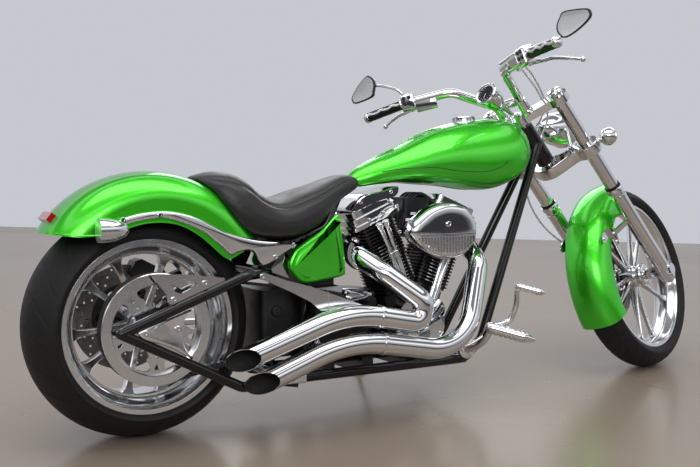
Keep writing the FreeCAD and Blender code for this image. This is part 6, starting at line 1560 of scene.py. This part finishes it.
FINISHES = (
    (GLOSS_BLACK, ("frame", "swingarm")),
    (SATIN_BLACK, ("rear_caliper", "front_caliper", "battery_box", "crankcase", "gearbox", "primary_cover",
                   "cylinders")),
    (PAINT, ("rear_fender", "fuel_tank", "front_fender", "side_covers")),
    (ALLOY, ("belt_guards", "front_rim", "rear_rim", "rear_pulley")),
    (RUBBER, ("front_tyre", "rear_tyre")),
    (DISC, ("front_disc", "rear_disc")),
    (BELT_RUBBER, ("belt",)),
    (GRIP, ("grips",)),
    (LEATHER, ("seat",)))
finish_by_name = {name: finish for finish, names in FINISHES for name in names}
for name, node in nodes.items():
    node.data.materials.clear()
    node.data.materials.append(finish_by_name.get(name, CHROME))


def tint(node, material, place, chosen):
    """Gives the faces of a CAD piece whose middle, in the local frame, is chosen another finish."""
    mesh = nodes[node].data
    mesh.materials.append(material)
    index = len(mesh.materials) - 1
    back = place.inverted()
    for face in mesh.polygons:
        if chosen(back @ face.center):
            face.material_index = index


CAM_CHEST_RADIUS, CAM_CHEST_BACK = 94.5, -66.5
TAIL_LAMP_HALF = 60
SIGNAL_FACE_X, SIGNAL_INNER_Y = -160.9, 100
AXLE_PLATE_Y = 196


def on_cam_chest(p):
    return p.y < CAM_CHEST_BACK and math.hypot(p.x - CAM_CHEST_X, p.z - CAM_CHEST_Z) < CAM_CHEST_RADIUS


tint("crankcase", CHROME, ROOT, on_cam_chest)
tint("rear_lamps", RED_LENS, ROOT, lambda p: abs(p.y) < TAIL_LAMP_HALF)
tint("rear_lamps", CLEAR_LENS, ROOT, lambda p: p.x < SIGNAL_FACE_X and abs(p.y) > SIGNAL_INNER_Y)
tint("swingarm", ALLOY, ROOT, lambda p: abs(abs(p.y) - AXLE_PLATE_Y) < 4.5 and -80 < p.x < 66.5)


# Stage

AHEAD, RIGHT = Vector((0.498, 0.867, 0)), Vector((0.867, -0.498, 0))
FLOOR_UNDER_CAMERA = Vector((-1.885, -2.8, 0))
FLOOR_AHEAD, FLOOR_WIDE = 7.57, 60


def floor_piece():
    """A wide pale floor whose far edge lies square to the camera's heading."""
    corners = [FLOOR_UNDER_CAMERA + AHEAD * a + RIGHT * b for a, b in (
        (FLOOR_AHEAD, -FLOOR_WIDE), (FLOOR_AHEAD, FLOOR_WIDE), (-FLOOR_WIDE, FLOOR_WIDE),
        (-FLOOR_WIDE, -FLOOR_WIDE))]
    mesh = bpy.data.meshes.new("floor")
    mesh.from_pydata(corners, [], [(0, 1, 2, 3)])
    floor = new_object("floor", mesh)
    mesh.materials.append(finish_of(
        "floor", (0.24, 0.195, 0.155), (0.3, 0.24, 0.185), rough=(0.2, 0.3), grain=1.4))


def studio_world():
    """A pale wall all round, soft bright panels overhead, and a darker band behind the camera."""
    world = bpy.data.worlds.new("studio")
    bpy.context.scene.world = world
    world.use_nodes = True
    tree = world.node_tree
    tree.nodes.clear()
    out = node_of(tree, "OutputWorld")
    place = node_of(tree, "TexCoord")
    split = node_of(tree, "SeparateXYZ")
    join(tree, place, "Generated", split, 0)

    def ramp_of(stops):
        ramp = node_of(tree, "ValToRGB")
        ramp.color_ramp.elements[0].position = 0.0
        ramp.color_ramp.elements[1].position = 1.0
        for position, _ in stops[1:-1]:
            ramp.color_ramp.elements.new(position)
        for element, (position, colour) in zip(ramp.color_ramp.elements, stops):
            element.position = position
            element.color = (*colour, 1)
        join(tree, split, "Z", ramp, "Fac")
        return ramp

    wall, dim, panel = (0.56, 0.585, 0.625), (0.2, 0.205, 0.22), (1.5, 1.5, 1.5)
    above = ((0.68, dim), (0.72, panel), (0.78, panel), (0.82, (0.22, 0.22, 0.24)), (1.0, (0.3, 0.3, 0.32)))
    far = ramp_of(((0.0, wall), (0.24, wall), (0.34, (0.66, 0.68, 0.72)), (0.46, (1.0, 1.0, 1.02)),
                   (0.54, dim)) + above)
    near = ramp_of(((0.0, (0.04, 0.04, 0.045)), (0.08, (0.05, 0.05, 0.055)), (0.16, (0.4, 0.41, 0.43)),
                    (0.3, (0.6, 0.61, 0.64)), (0.4, (1.3, 1.3, 1.3)), (0.5, (1.1, 1.1, 1.1)),
                    (0.56, dim)) + above)
    heading = node_of(tree, "VectorMath", operation="DOT_PRODUCT")
    heading.inputs[1].default_value = AHEAD
    join(tree, place, "Generated", heading, 0)
    share = node_of(tree, "MapRange", **{"From Min": -0.35, "From Max": 0.15})
    join(tree, heading, "Value", share, "Value")
    mix = node_of(tree, "Mix", data_type="RGBA")
    join(tree, share, "Result", mix, 0)
    join(tree, near, "Color", mix, 6)
    join(tree, far, "Color", mix, 7)
    light = node_of(tree, "Background", Strength=1.0)
    join(tree, mix, 2, light, "Color")
    join(tree, light, 0, out, "Surface")


def lamp(name, place, target, size, power):
    data = bpy.data.lights.new(name, "AREA")
    data.shape = "RECTANGLE"
    data.size, data.size_y = size
    data.energy = power
    obj = new_object(name, data)
    obj.location = place
    obj.rotation_euler = (Vector(target) - Vector(place)).to_track_quat("-Z", "Y").to_euler()


CAMERA_PLACE = (-1.88499, -2.8002, 0.95426)
LENS, SENSOR = 51.7866, 36.0


def camera_piece():
    data = bpy.data.cameras.new("camera")
    data.lens = LENS
    data.sensor_width = SENSOR
    obj = new_object("camera", data)
    turn = Matrix((
        (0.868303, 0.03986, -0.49443), (-0.495416, 0.119439, -0.860405),
        (0.024758, 0.992041, 0.123457))).to_4x4()
    obj.matrix_world = Matrix.Translation(CAMERA_PLACE) @ turn
    bpy.context.scene.camera = obj


floor_piece()
studio_world()
lamp("overhead", place=(-0.4, -0.6, 3.6), target=(0, 0, 0.4), size=(4.5, 2.0), power=70)
lamp("near_side", place=(-2.2, -3.6, 2.4), target=(0, 0, 0.5), size=(3.0, 1.6), power=45)
lamp("far_side", place=(1.8, 3.2, 2.6), target=(0, 0, 0.5), size=(3.0, 1.6), power=35)
camera_piece()
bpy.context.scene.view_settings.view_transform = "Standard"
